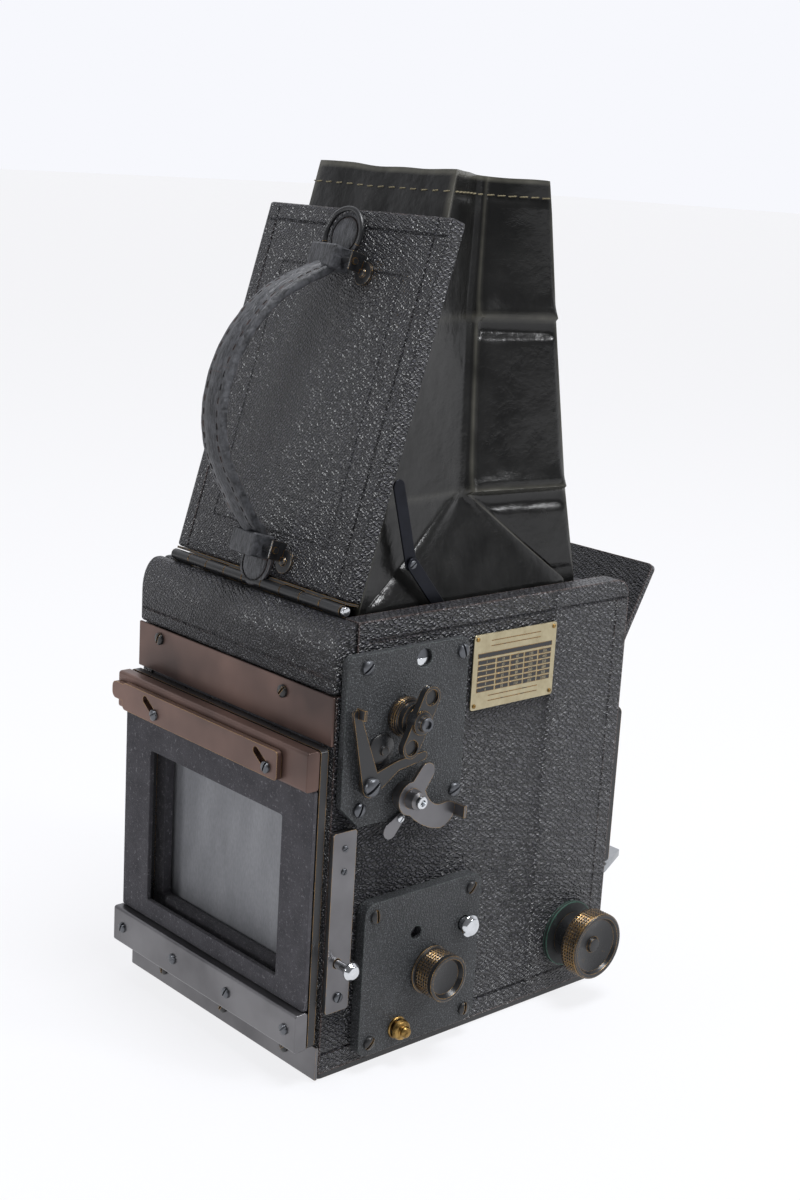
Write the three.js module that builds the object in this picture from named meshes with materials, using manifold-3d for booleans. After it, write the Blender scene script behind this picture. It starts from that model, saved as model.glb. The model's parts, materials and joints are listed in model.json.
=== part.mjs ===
// Plate press camera: a single-lens reflex box with a folding leather viewing hood,
// a focal-plane shutter and a revolving back.
// Millimetres, +Z up, lens towards -Y, film back towards +Y, shutter controls on the -X side.
import * as THREE from 'three';
import { mergeVertices } from 'three/addons/utils/BufferGeometryUtils.js';
import Module from 'manifold-3d';

const wasm = await Module();
wasm.setup();

// ---- driving dimensions -------------------------------------------------------------------
const gap = 0.3;
const body = { half: 75, front: -94.6, rear: 93, height: 215.5, wall: 10, base: 3 };
const inner = body.half - body.wall - gap;
const side = -body.half - gap;
const gate = { half: 52, low: 46, high: 124 };
const lid = { hingeY: 82.5, hingeZ: 218.3, lean: 16.6, length: 176.8, half: 64.6, thick: 9, start: 4.3 };
const flap = { hingeY: -84, hingeZ: 140, lean: 28, length: 87, half: 64.2 };
const mirror = { hingeY: 38, hingeZ: 178, length: 92, half: 52 };
const stay = { lugUp: 59, lugOut: 13.5, footY: 18.5, footZ: 206, link: 37.6, width: 6.5 };
const key = { y: 57.5, z: 170.6, shaft: 4 };
const setLever = { y: 54.5, z: 132.6, shaft: 3 };
const tension = { y: 33, z: 42, shaft: 3 };
const focus = { y: -69, z: 32, shaft: 3, pinion: 5.7 };
const lens = { z: 91, radius: 25, board: -134.3, front: -150 };
const bed = { front: -155, rear: -46, half: 46, low: 40, high: 44 };
const strap = { width: 14, thick: 6.5, pivot: 8.5, low: 14, high: 156 };

// ---- finishes -----------------------------------------------------------------------------
const finishes = {
  leather: { color: 0x1c1c1e, roughness: 0.6, metalness: 0 },
  softLeather: { color: 0x151515, roughness: 0.5, metalness: 0 },
  wood: { color: 0x5b3a22, roughness: 0.6, metalness: 0 },
  enamel: { color: 0x1b1b1c, roughness: 0.4, metalness: 0.4 },
  crackle: { color: 0x222224, roughness: 0.7, metalness: 0.3 },
  bronze: { color: 0x5a4636, roughness: 0.45, metalness: 0.7 },
  brass: { color: 0xb08d4a, roughness: 0.35, metalness: 1 },
  nickel: { color: 0xb9b9b6, roughness: 0.3, metalness: 1 },
  aluminium: { color: 0xa9abad, roughness: 0.4, metalness: 1 },
  velvet: { color: 0x0d0d0e, roughness: 0.95, metalness: 0 },
  cloth: { color: 0x6b6c70, roughness: 0.8, metalness: 0 },
  glass: { color: 0xcfdcd8, roughness: 0.1, metalness: 0 },
  mirror: { color: 0xdde2e6, roughness: 0.05, metalness: 1 },
};
const materials = Object.fromEntries(
  Object.entries(finishes).map(([name, look]) => [name, new THREE.MeshStandardMaterial(look)]),
);

const camera = new THREE.Group();

function add(name, geometry, finish, parent = camera) {
  const mesh = new THREE.Mesh(geometry, materials[finish].clone());
  mesh.name = name;
  parent.add(mesh);
  return mesh;
}

// ---- booleans -----------------------------------------------------------------------------
function toSolid(geometry) {
  const bare = geometry.clone();
  bare.deleteAttribute('normal');
  bare.deleteAttribute('uv');
  const merged = mergeVertices(bare, 1e-4);
  const index = merged.index.array;
  const kept = [];
  for (let i = 0; i < index.length; i += 3) {
    const [a, b, c] = [index[i], index[i + 1], index[i + 2]];
    if (a !== b && b !== c && c !== a) kept.push(a, b, c);
  }
  const vertProperties = new Float32Array(merged.attributes.position.array);
  return new wasm.Manifold(new wasm.Mesh({ numProp: 3, vertProperties, triVerts: new Uint32Array(kept) }));
}

function toGeometry(solid) {
  const { vertProperties, triVerts } = solid.getMesh();
  const geometry = new THREE.BufferGeometry();
  geometry.setAttribute('position', new THREE.BufferAttribute(vertProperties, 3));
  geometry.setIndex(new THREE.BufferAttribute(triVerts, 1));
  geometry.computeVertexNormals();
  return geometry;
}

function join(...geometries) {
  return toGeometry(geometries.map(toSolid).reduce((whole, next) => whole.add(next)));
}

function cut(geometry, ...tools) {
  return toGeometry(tools.map(toSolid).reduce((rest, tool) => rest.subtract(tool), toSolid(geometry)));
}

// ---- primitives ---------------------------------------------------------------------------
function box(x0, x1, y0, y1, z0, z1) {
  return new THREE.BoxGeometry(x1 - x0, y1 - y0, z1 - z0).translate((x0 + x1) / 2, (y0 + y1) / 2, (z0 + z1) / 2);
}

const axes = {
  x: [new THREE.Vector3(0, 1, 0), new THREE.Vector3(0, 0, 1), new THREE.Vector3(1, 0, 0)],
  y: [new THREE.Vector3(0, 0, 1), new THREE.Vector3(1, 0, 0), new THREE.Vector3(0, 1, 0)],
  z: [new THREE.Vector3(1, 0, 0), new THREE.Vector3(0, 1, 0), new THREE.Vector3(0, 0, 1)],
};

// Extrudes an outline between two places on an axis. The outline's own directions are
// (y, z) for an extrusion along x, (z, x) along y and (x, y) along z.
function extrude(axis, outline, from, to, segments = 6) {
  const geometry = new THREE.ExtrudeGeometry(outline, { depth: to - from, bevelEnabled: false, curveSegments: segments });
  return geometry.translate(0, 0, from).applyMatrix4(new THREE.Matrix4().makeBasis(...axes[axis]));
}

function roundedRect(u0, u1, v0, v1, r) {
  const shape = new THREE.Shape();
  shape.absarc(u1 - r, v0 + r, r, -Math.PI / 2, 0);
  shape.absarc(u1 - r, v1 - r, r, 0, Math.PI / 2);
  shape.absarc(u0 + r, v1 - r, r, Math.PI / 2, Math.PI);
  shape.absarc(u0 + r, v0 + r, r, Math.PI, Math.PI * 1.5);
  return shape;
}

function circle(u, v, r) {
  const shape = new THREE.Shape();
  shape.absarc(u, v, r, 0, Math.PI * 2);
  return shape;
}

function withHoles(shape, ...holes) {
  shape.holes.push(...holes);
  return shape;
}

function stadium([u0, v0], [u1, v1], r, rEnd = r) {
  const angle = Math.atan2(v1 - v0, u1 - u0);
  const shape = new THREE.Shape();
  shape.absarc(u1, v1, rEnd, angle - Math.PI / 2, angle + Math.PI / 2);
  shape.absarc(u0, v0, r, angle + Math.PI / 2, angle + Math.PI * 1.5);
  return shape;
}

// A band of even thickness that follows an open route.
function ribbon(route, thick) {
  const points = route.map(([u, v]) => new THREE.Vector2(u, v));
  const headings = points.slice(1).map((point, i) => point.clone().sub(points[i]).normalize());
  const shifts = points.map((point, i) => {
    const before = headings[Math.max(i - 1, 0)];
    const after = headings[Math.min(i, headings.length - 1)];
    const middle = before.clone().add(after).normalize();
    return new THREE.Vector2(-middle.y, middle.x).multiplyScalar(thick / 2 / middle.dot(before));
  });
  const left = points.map((point, i) => point.clone().add(shifts[i]));
  const right = points.map((point, i) => point.clone().sub(shifts[i]));
  return new THREE.Shape([...left, ...right.reverse()]);
}

function rod(axis, r, from, to, u, v, segments = 10) {
  return extrude(axis, circle(u, v, r), from, to, segments);
}

// A turned piece on an axis along x: the profile lists [radius, x] from one end to the other.
function turned(profile, y, z, segments = 24) {
  const rising = profile[0][1] <= profile[profile.length - 1][1] ? profile : profile.slice().reverse();
  const points = rising.map(([r, x]) => new THREE.Vector2(r, x));
  return new THREE.LatheGeometry(points, segments)
    .applyMatrix4(new THREE.Matrix4().makeRotationZ(-Math.PI / 2))
    .translate(0, y, z);
}

// A skin between two stacks of rings, which run round the same way and have equal counts.
function ringSkin(outer, innerRings) {
  const loops = [...outer, ...innerRings.slice().reverse()];
  const count = loops[0].length;
  const positions = loops.flat(2);
  const index = [];
  for (let i = 0; i < loops.length; i += 1) {
    const next = ((i + 1) % loops.length) * count;
    for (let j = 0; j < count; j += 1) {
      const k = (j + 1) % count;
      index.push(i * count + j, i * count + k, next + k);
      index.push(i * count + j, next + k, next + j);
    }
  }
  const geometry = new THREE.BufferGeometry();
  geometry.setAttribute('position', new THREE.Float32BufferAttribute(positions, 3));
  geometry.setIndex(index);
  geometry.computeVertexNormals();
  return geometry;
}

// ---- case ---------------------------------------------------------------------------------
function wallOutline() {
  const rounding = 9.6;
  const shape = new THREE.Shape();
  shape.moveTo(body.front, body.base + gap);
  shape.lineTo(body.rear, body.base + gap);
  shape.lineTo(body.rear, 183.6);
  shape.lineTo(lid.hingeY, 183.6);
  shape.lineTo(lid.hingeY, body.height);
  shape.absarc(body.front + rounding, body.height - rounding, rounding, Math.PI / 2, Math.PI);
  return shape;
}

function makeCase() {
  const shafts = [key, setLever, tension, focus].map(({ y, z, shaft }) => circle(y, z, shaft + 0.4));
  const right = withHoles(wallOutline(), ...shafts);
  add('case_right_wall', extrude('x', right, -body.half, -body.half + body.wall), 'leather');
  add('case_left_wall', extrude('x', wallOutline(), body.half - body.wall, body.half), 'leather');
  add('case_floor', box(-inner, inner, -86.5, 87.5, body.base + gap, 11), 'wood');

  const bushY = -25;
  const plate = withHoles(roundedRect(-74, 74, -93, 93, 3), circle(0, bushY, 8.3));
  add('base_plate', extrude('z', plate, 0, body.base, 10), 'enamel');
  const bush = withHoles(circle(0, bushY, 8), circle(0, bushY, 4.8));
  add('tripod_bush', extrude('z', bush, 0, body.base, 10), 'brass');

  add('front_fascia', extrude('x', roundedRect(-96.6, -87, 166, 208, 2), -inner, inner, 3), 'leather');
  const frame = new THREE.Shape([
    [11.3, -inner], [136.5, -inner], [136.5, -53], [36, -53], [36, 53], [136.5, 53], [136.5, inner], [11.3, inner],
  ].map(([z, x]) => new THREE.Vector2(z, x)));
  add('front_frame', extrude('y', frame, -94, -87), 'enamel');

  const cap = new THREE.Shape();
  cap.moveTo(lid.hingeY + 0.4, 184);
  cap.lineTo(94.6, 184);
  cap.absellipse(86, 200, 8.6, 15.4, 0, Math.PI / 2);
  cap.lineTo(lid.hingeY + 0.4, 215.4);
  add('rear_cap', extrude('x', cap, -74.8, 74.8, 5), 'leather');
  const plateY = body.rear + gap;
  add('rear_upper_plate', box(-body.half, body.half, plateY, plateY + 1.6, 161, 183.6), 'bronze');
  const mask = withHoles(
    roundedRect(17.4, 160, -inner, inner, 1),
    roundedRect(gate.low, gate.high, -gate.half, gate.half, 1),
  );
  add('gate_frame', extrude('y', mask, 88, 92.7, 2), 'velvet');
  const throat = withHoles(roundedRect(47.4, 170, -inner, inner, 1), roundedRect(51, 131, -40, 40, 1));
  add('bellows_frame', extrude('y', throat, -61, -57, 2), 'velvet');
}

// ---- viewing screen, mirror and shutter ---------------------------------------------------
function makeScreen() {
  const ledge = withHoles(roundedRect(-61.2, 61.2, -86.5, 81, 1), roundedRect(-52, 52, -54, 50, 1));
  add('ground_glass_frame', extrude('z', ledge, 184, 189, 2), 'enamel');
  add('ground_glass', box(-56, 56, -58, 54, 189.3, 191.5), 'glass');
}

function makeMirror() {
  const group = new THREE.Group();
  group.position.set(0, mirror.hingeY, mirror.hingeZ);
  group.rotation.x = Math.PI / 4;
  camera.add(group);
  const shaft = rod('x', 2.2, -64.4, 64.4, 0, 0, 8);
  const tray = box(-mirror.half, mirror.half, -mirror.length, 0, -3, 0);
  add('mirror_frame', join(tray, shaft), 'enamel', group);
  add('mirror_glass', box(-50, 50, -mirror.length + 2, -5, gap, 2.4), 'mirror', group);
}

function makeShutter() {
  const route = [[66.2, 171.5], [85.4, 152.5], [85.4, 30], [41.5, 38.5]];
  add('curtain', extrude('x', ribbon(route, 0.5), -56, 56), 'cloth');
  const upper = join(rod('x', 7, -60, 60, key.y, key.z, 8), rod('x', key.shaft, -79, 64.4, key.y, key.z, 8));
  add('upper_roller', upper, 'brass');
  const lower = join(
    rod('x', 7, -60, 60, tension.y, tension.z, 8),
    rod('x', tension.shaft, -81.4, 64.4, tension.y, tension.z, 8),
  );
  add('lower_roller', lower, 'brass');
}

// ---- controls on the right side -----------------------------------------------------------
const plateFace = side - 3.7;

function makeShutterControls() {
  const window = { y: 46, z: 195.5, r: 4.5 };
  const plate = new THREE.Shape();
  plate.moveTo(22.5, 122);
  plate.lineTo(80, 122);
  plate.lineTo(91, 133);
  plate.lineTo(91, 198);
  plate.absarc(87, 198, 4, 0, Math.PI / 2);
  plate.absarc(22.5, 198, 4, Math.PI / 2, Math.PI);
  plate.absarc(22.5, 126, 4, Math.PI, Math.PI * 1.5);
  withHoles(plate, circle(key.y, key.z, key.shaft + 0.4), circle(setLever.y, setLever.z, setLever.shaft + 0.4),
    circle(window.y, window.z, window.r));
  add('shutter_plate', extrude('x', plate, plateFace, side), 'crackle');

  const face = plateFace - gap;
  const dome = { y: 70, z: 157, r: 7.4 };
  const domeProfile = [[0, face], [dome.r, face], [dome.r, face - 1], [4, face - 2.2], [2.2, face - 2.3],
    [2.2, face - 3.6], [0, face - 3.6]];
  add('dome_cap', turned(domeProfile, dome.y, dome.z), 'enamel');

  makeWindingKey(face);
  makePawl(face);
  makeSetLever(face);
}

function makeWindingKey(face) {
  const hub = turned([[0, face - 15.5], [3.4, face - 15.5], [3.8, face - 14], [5.4, face - 13.6],
    [5.8, face - 8.4], [7.6, face - 8], [7.6, face - 5], [8.7, face - 4.6], [8.9, face], [0, face]], key.y, key.z);
  const reach = 12;
  const slant = new THREE.Vector2(-0.436, 0.9).multiplyScalar(reach);
  const lobes = [1, -1].map((way) => [key.y + way * slant.x, key.z + way * slant.y]);
  const bar = stadium(lobes[0], lobes[1], 5);
  const wing = extrude('x', bar, face - 12.6, face - 9.4, 8);
  const dishes = lobes.map(([y, z]) => rod('x', 3.7, face - 13, face - 11.4, y, z, 8));
  add('winding_key', cut(join(wing, hub), ...dishes), 'enamel');
}

function makePawl(face) {
  const pivot = [77.5, 142];
  const tip = [88, 177];
  const bend = [62.5, 149];
  const [low, high] = [face - 2.7, face - 4];
  const arm = (ends, r, rEnd) => extrude('x', stadium(...ends, r, rEnd), high, low, 5);
  const arms = [
    arm([pivot, tip], 5, 2),
    arm([pivot, bend], 5, 2.4),
    arm([bend, [47, 151]], 2.4, 2),
    box(high - 4, low, tip[0] - 2, tip[0] - 0.8, tip[1] - 2, tip[1] + 2.6),
    rod('x', 4, high, face, ...pivot),
  ];
  add('pawl_lever', join(...arms), 'enamel');
}

function makeSetLever(face) {
  const { y, z, shaft } = setLever;
  const low = face - 4.5;
  const blade = new THREE.Shape();
  blade.moveTo(y - 7, z + 4);
  blade.quadraticCurveTo(y - 12, z - 8, y - 20, z - 6);
  blade.quadraticCurveTo(y - 24, z - 5, y - 28, z - 8);
  blade.quadraticCurveTo(y - 27, z - 16, y - 19, z - 18);
  blade.quadraticCurveTo(y - 8, z - 17, y + 2, z - 7);
  const pieces = [
    rod('x', 8, low - 1.6, low, y, z, 12),
    extrude('x', blade, low - 1.6, low, 5),
    extrude('x', stadium([y, z], [y - 8.5, z + 11], 5, 4.4), low - 1.6, low, 6),
    box(low - 8, low, y - 28.5, y - 27, z - 13, z - 7.4),
    turned([[0, face - 11.5], [3, face - 11.5], [4.2, face - 10.5], [4.8, face - 6], [6.6, face - 5.6],
      [6.6, face], [0, face]], y, z),
    rod('x', shaft, face, -64.4, y, z, 8),
  ];
  add('mirror_set_lever', join(...pieces), 'enamel');

  const pointer = { pivot: [y + 2, z - 10.5], tip: [y + 7.8, z - 15.5] };
  add('time_lever', extrude('x', stadium(pointer.pivot, pointer.tip, 2.6, 4), face - 1.4, face, 6), 'enamel');
}

function makeTensionControls() {
  const thick = 6;
  const face = side - thick;
  const button = { y: 12, z: 60, r: 3.4 };
  const release = { y: 51.7, z: 17.5, r: 2.6 };
  const window = { y: 42.7, z: 62.8, r: 3.3 };
  const bores = [circle(tension.y, tension.z, tension.shaft + 0.4), circle(button.y, button.z, button.r + 0.4),
    circle(release.y, release.z, release.r + 0.4), circle(window.y, window.z, window.r)];
  const plate = withHoles(roundedRect(2, 75, 8, 84, 6), ...bores);
  add('tension_plate', extrude('x', plate, face, side, 8), 'enamel');

  const near = face - gap;
  add('tension_knob', turned([[0, near - 2.4], [8, near - 2.4], [9.6, near - 13], [10.8, near - 13.3],
    [11.8, near - 12.4], [11.8, near - 3], [10.8, near - 1.4], [7, near - 1], [7, near], [0, near]],
  tension.y, tension.z, 32), 'enamel');
  add('chrome_button', turned([[0, face - 7], [4, face - 6.6], [5.6, face - 5], [5.6, face - 4],
    [button.r, face - 3.6], [button.r, side - 3], [0, side - 3]], button.y, button.z), 'nickel');
  add('brass_release', turned([[0, face - 8], [2.4, face - 7.8], [3, face - 6.4], [2.4, face - 5.2],
    [4.6, face - 4.8], [5.2, face - 2.4], [release.r, face - 2.2], [release.r, side - 3], [0, side - 3]],
  release.y, release.z, 12), 'brass');
}

function makeSideFittings() {
  add('speed_plate', extrude('x', roundedRect(-42.3, 12.6, 164, 200.5, 1.5), side - 1, side, 3), 'aluminium');
  const strip = withHoles(roundedRect(79.5, body.rear, 34, 121, 1.5), circle(87.4, 58, 2.4));
  add('side_strip', extrude('x', strip, side - 2.4, side, 8), 'enamel');
  add('latch_plunger', turned([[0, side - 15], [3, side - 14.6], [4.4, side - 12.6], [3.6, side - 10.6],
    [2, side - 10], [2, side], [0, side]], 87.4, 58, 20), 'nickel');

  const collar = withHoles(circle(focus.y, focus.z, 17), circle(focus.y, focus.z, focus.shaft + 0.4));
  add('focus_collar', extrude('x', collar, side - 2, side, 14), 'bronze');
  const end = side - 21.7;
  add('focus_knob', turned([[0, end + 3], [1.8, end + 3], [12, end + 3.4], [14.6, end + 0.6], [16.4, end],
    [17.5, end + 1.2], [17.5, end + 12], [16.4, end + 13.4], [6, end + 14], [6, side - 2.4], [0, side - 2.4]],
  focus.y, focus.z, 36), 'enamel');
  const spindle = rod('x', focus.shaft, side - 2.1, 46, focus.y, focus.z, 8);
  const pinions = [-1, 1].map((way) => rod('x', focus.pinion, way * 30 - 3, way * 30 + 3, focus.y, focus.z, 12));
  add('pinion_shaft', join(spindle, ...pinions), 'brass');

  const pivot = [-20, 62];
  const near = body.half + gap;
  const arm = extrude('x', stadium(pivot, [-34, 38], 7, 4), near, near + 2, 8);
  add('release_lever', join(arm, rod('x', 5, near, near + 7, ...pivot)), 'nickel');
}

// ---- lid with its handle and stays --------------------------------------------------------
const knuckles = { count: 9, radius: 2.6, bore: 1.5, half: 63.9 };

function hingeLeaf(plate, tab, first) {
  const pitch = (knuckles.half * 2) / knuckles.count;
  const pieces = [plate];
  for (let i = first; i < knuckles.count; i += 2) {
    const from = -knuckles.half + i * pitch + 0.2;
    const to = from + pitch - 0.4;
    pieces.push(rod('x', knuckles.radius, from, to, 0, 0, 6));
    pieces.push(box(from, to, ...tab));
  }
  const bore = rod('x', knuckles.bore, -knuckles.half - 1, knuckles.half + 1, 0, 0, 6);
  return cut(join(...pieces), bore);
}

function makeLid() {
  const axis = new THREE.Group();
  axis.position.set(0, lid.hingeY, lid.hingeZ);
  camera.add(axis);
  const caseLeaf = box(-knuckles.half, knuckles.half, -1.1, 0.1, -15, -3);
  add('case_hinge_leaf', hingeLeaf(caseLeaf, [-1.1, 0.1, -3.2, -1.8], 0), 'nickel', axis);
  add('hinge_pin', turned([[0, -66.5], [2.2, -66.2], [2.2, -64.4], [1.2, -64.3], [1.2, 64.8], [0, 64.8]], 0, 0, 12),
    'nickel', axis);

  const group = new THREE.Group();
  group.position.copy(axis.position);
  group.rotation.x = THREE.MathUtils.degToRad(lid.lean);
  camera.add(group);
  const lidLeaf = box(-knuckles.half, knuckles.half, -8, -0.2, 2.95, 4);
  add('lid_hinge_leaf', hingeLeaf(lidLeaf, [-1.3, -0.2, 1.8, 3.1], 1), 'nickel', group);
  const board = roundedRect(-lid.thick, 0, lid.start, lid.length, 1.6);
  add('lid_board', extrude('x', board, -lid.half, lid.half, 3), 'leather', group);

  makeHandle(group);
}

function makeHandle(parent) {
  const { width, thick, pivot, low, high } = strap;
  const stations = [[pivot, low], [pivot, low + 8], [15.6, 27], [27, 37.5], [38, 48.6], [45.5, 61], [49.6, 77],
    [49, 95], [43, 113], [34, 127], [22, 138], [12, 145.5], [pivot, high - 4], [pivot, high]];
  const route = new THREE.CatmullRomCurve3(stations.map(([out, up]) => new THREE.Vector3(0, out, up)));
  const section = roundedRect(-width / 2, width / 2, -thick / 2, thick / 2, 1.4);
  const band = new THREE.ExtrudeGeometry(section, { steps: 24, extrudePath: route, curveSegments: 1 });
  const sockets = [[low - 1, low + 8], [high - 8, high + 1]];
  add('handle_strap', cut(band, ...sockets.map(([from, to]) => rod('z', 2, from, to, 0, pivot, 8))),
    'leather', parent);

  for (const [name, foot, way] of [['handle_bracket_lower', low, -1], ['handle_bracket_upper', high, 1]]) {
    const near = foot + way * 0.5;
    const far = foot + way * 3;
    const ear = box(-7.5, 7.5, gap, pivot + 3.5, Math.min(near, far), Math.max(near, far));
    const pin = rod('z', 1.6, Math.min(far, foot - way * 7), Math.max(far, foot - way * 7), 0, pivot, 8);
    const plateEnd = foot + way * 11;
    const plate = box(-9, 9, gap, 1.8, Math.min(near, plateEnd), Math.max(near, plateEnd));
    add(name, join(plate, ear, pin), 'enamel', parent);
  }
}

function lidPoint(up, out) {
  const lean = THREE.MathUtils.degToRad(lid.lean);
  return [lid.hingeY - up * Math.sin(lean) - out * Math.cos(lean), lid.hingeZ + up * Math.cos(lean) - out * Math.sin(lean)];
}

function makeStays() {
  const upper = lidPoint(stay.lugUp, stay.lugOut);
  const foot = [stay.footY, stay.footZ];
  const span = new THREE.Vector2(upper[0] - foot[0], upper[1] - foot[1]);
  const sag = Math.sqrt(stay.link ** 2 - span.lengthSq() / 4);
  const unit = span.clone().normalize();
  const elbow = [foot[0] + span.x / 2 + unit.y * sag, foot[1] + span.y / 2 - unit.x * sag];
  for (const [hand, way] of [['right', -1], ['left', 1]]) {
    const layer = (near, far) => [Math.min(way * near, way * far), Math.max(way * near, way * far)];
    const link = (ends, span0) => extrude('x', withHoles(stadium(...ends, stay.width / 2), circle(...elbow, 1.6)), ...span0, 5);
    add(`stay_lower_${hand}`, link([foot, elbow], layer(63.3, 64.4)), 'enamel');
    const bar = extrude('x', stadium(elbow, upper, stay.width / 2), ...layer(61.9, 63), 5);
    const rivet = rod('x', 1.2, ...layer(62.5, 64.4), ...elbow, 6);
    add(`stay_upper_${hand}`, join(bar, rivet), 'enamel');
  }
}

// ---- viewing hood -------------------------------------------------------------------------
function makeHood() {
  const levels = [
    { z: 203, half: [61.2, 61.2, 61.2], y: [-69, 2, 71] },
    { z: 216, half: [61, 60, 60.6], y: [-68.5, 2, 70.2] },
    { z: 262, half: [58, 48, 57], y: [-60, 1, 56.5] },
    { z: 342, half: [53, 37.7, 52], y: [-50, -6, 32.8] },
    { z: 407.8, half: [52, 31.2, 47.8], y: [-40, -13.4, 15.6] },
  ];
  const ring = ({ z, half: [front, fold, back], y: [yFront, yFold, yBack] }, t) => [
    [-front + t, yFront + t, z], [front - t, yFront + t, z], [fold - t, yFold, z],
    [back - t, yBack - t, z], [-back + t, yBack - t, z], [-fold + t, yFold, z],
  ];
  const skin = ringSkin(levels.map((level) => ring(level, 0)), levels.map((level) => ring(level, 2)));
  add('viewing_hood', skin, 'softLeather');
}

// ---- front: flap, focusing bed, standard, lens and bellows --------------------------------
function makeFlap() {
  const group = new THREE.Group();
  group.position.set(0, flap.hingeY, flap.hingeZ);
  group.rotation.x = THREE.MathUtils.degToRad(flap.lean);
  camera.add(group);
  const board = extrude('y', roundedRect(-1, flap.length, -flap.half, flap.half, 3), -2.5, 0.5, 4);
  add('front_flap', join(board, rod('x', 1.6, -64.5, 64.5, 0, 0, 8)), 'leather', group);
}

function makeFocusBed() {
  const plate = new THREE.Shape();
  plate.moveTo(-bed.half, bed.rear);
  plate.lineTo(-bed.half, bed.front + 25);
  plate.lineTo(-34, bed.front);
  plate.lineTo(34, bed.front);
  plate.lineTo(bed.half, bed.front + 25);
  plate.lineTo(bed.half, bed.rear);
  const racks = [-1, 1].map((way) => box(way * 30 - 3, way * 30 + 3, -122, bed.rear, 38, bed.low + 0.5));
  add('focus_bed', join(extrude('z', plate, bed.low, bed.high), ...racks), 'aluminium');

  const cheek = (way) => {
    const outline = new THREE.Shape([[46.4, 11.3], [51.8, 11.3], [51.8, 47], [46.4, 47], [46.4, bed.low - gap],
      [40, bed.low - gap], [40, 37], [46.4, 35.6]].map(([x, z]) => new THREE.Vector2(z, way * x)));
    return extrude('y', outline, -86.5, -2);
  };
  const channel = join(cheek(1), cheek(-1), box(-47, 47, -86.5, -2, 11.3, 14.3));
  const bore = rod('x', focus.shaft + 0.5, -55, 55, focus.y, focus.z, 8);
  add('focus_track', cut(channel, bore), 'brass');
}

function makeLens() {
  const { z, radius, board, front } = lens;
  const frame = withHoles(roundedRect(bed.high + gap, 133, -44, 44, 3), roundedRect(z - 33, z + 33, -33, 33, 3));
  add('front_standard', extrude('y', frame, board, board + 6, 4), 'enamel');
  const plate = withHoles(roundedRect(z - 38, z + 38, -38, 38, 4), circle(z, 0, 20.4));
  add('lens_board', extrude('y', plate, board - 3.3, board - gap, 12), 'enamel');
  const near = board - 3.6;
  const barrel = [[20, near + 12], [20, near], [29, near], [29, near - 2.6], [radius - 1, near - 3],
    [radius - 1, front + 6], [radius, front + 5], [radius, front], [radius - 3, front], [20.8, front + 4],
    [18, front + 4], [18, near + 12]];
  const points = barrel.concat([barrel[0]]).map(([r, y]) => new THREE.Vector2(r, y));
  add('lens_barrel', new THREE.LatheGeometry(points.reverse(), 28), 'enamel').position.z = z;
  const glass = [[0, front + 2.2], [9, front + 2.8], [17.5, front + 4.6], [17.5, front + 9], [0, front + 9]];
  add('front_lens', new THREE.LatheGeometry(glass.map(([r, y]) => new THREE.Vector2(r, y)), 24), 'glass')
    .position.z = z;
}

function makeBellows() {
  const folds = 8;
  const from = -127.7;
  const to = -61.4;
  const ring = (half, y, t) => [[-1, -1], [1, -1], [1, 1], [-1, 1]].map(([u, v]) => [u * (half - t), v * (half - t), y]);
  const stations = Array.from({ length: folds * 2 + 1 }, (_, i) => i);
  const rings = (t) => stations.map((i) => {
    const along = i / (folds * 2);
    const half = 38 + 3.5 * along + (i % 2 ? -2.5 : 2.5);
    return ring(half, -to + (to - from) * along, t);
  });
  const skin = ringSkin(rings(0), rings(0.8));
  const mesh = add('bellows', skin, 'softLeather');
  mesh.rotation.x = Math.PI / 2;
  mesh.position.z = lens.z;
}

// ---- revolving back -----------------------------------------------------------------------
function makeBack() {
  const half = 74;
  const low = 17.3;
  const high = 160;
  const near = body.rear + 2.3;
  const frame = withHoles(roundedRect(low, high, -half, half, 2), roundedRect(42, 128, -56, 56, 1));
  add('back_frame', extrude('y', frame, near, near + 4.2, 3), 'enamel');
  const face = near + 4.5;
  add('top_rail', extrude('x', roundedRect(face, face + 7.2, 141.6, high, 1.5), -half, half, 3), 'enamel');
  add('bottom_rail', extrude('x', roundedRect(face, face + 7.2, low, 36, 1.5), -half, half, 3), 'enamel');
  const velvet = withHoles(
    roundedRect(36.3, 141.3, -half + 0.5, half - 0.5, 1),
    roundedRect(gate.low, gate.high, -gate.half, gate.half, 1),
  );
  add('velvet_frame', extrude('y', velvet, face, face + 2.4, 2), 'velvet');

  const barFace = face + 7.5;
  const bar = roundedRect(142.7, 156.4, -56.5, 66, 2);
  const slope = [5.4, 8];
  const slotHeads = [[147.2, -49], [147.2, 38.5]];
  for (const [z, x] of slotHeads) {
    bar.holes.push(stadium([z, x], [z + slope[0], x + slope[1]], 1.9));
  }
  const tab = extrude('y', roundedRect(147, 155.5, 64, 75, 3), barFace, barFace + 2.6, 4);
  add('slide_lock_bar', join(extrude('y', bar, barFace, barFace + 2.6, 6), tab), 'enamel');
}

makeCase();
makeScreen();
makeMirror();
makeShutter();
makeShutterControls();
makeTensionControls();
makeSideFittings();
makeLid();
makeStays();
makeHood();
makeFlap();
makeFocusBed();
makeLens();
makeBellows();
makeBack();

export default camera;
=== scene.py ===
"""A plate press camera with its viewing hood up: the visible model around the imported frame."""

import json
import math

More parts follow.
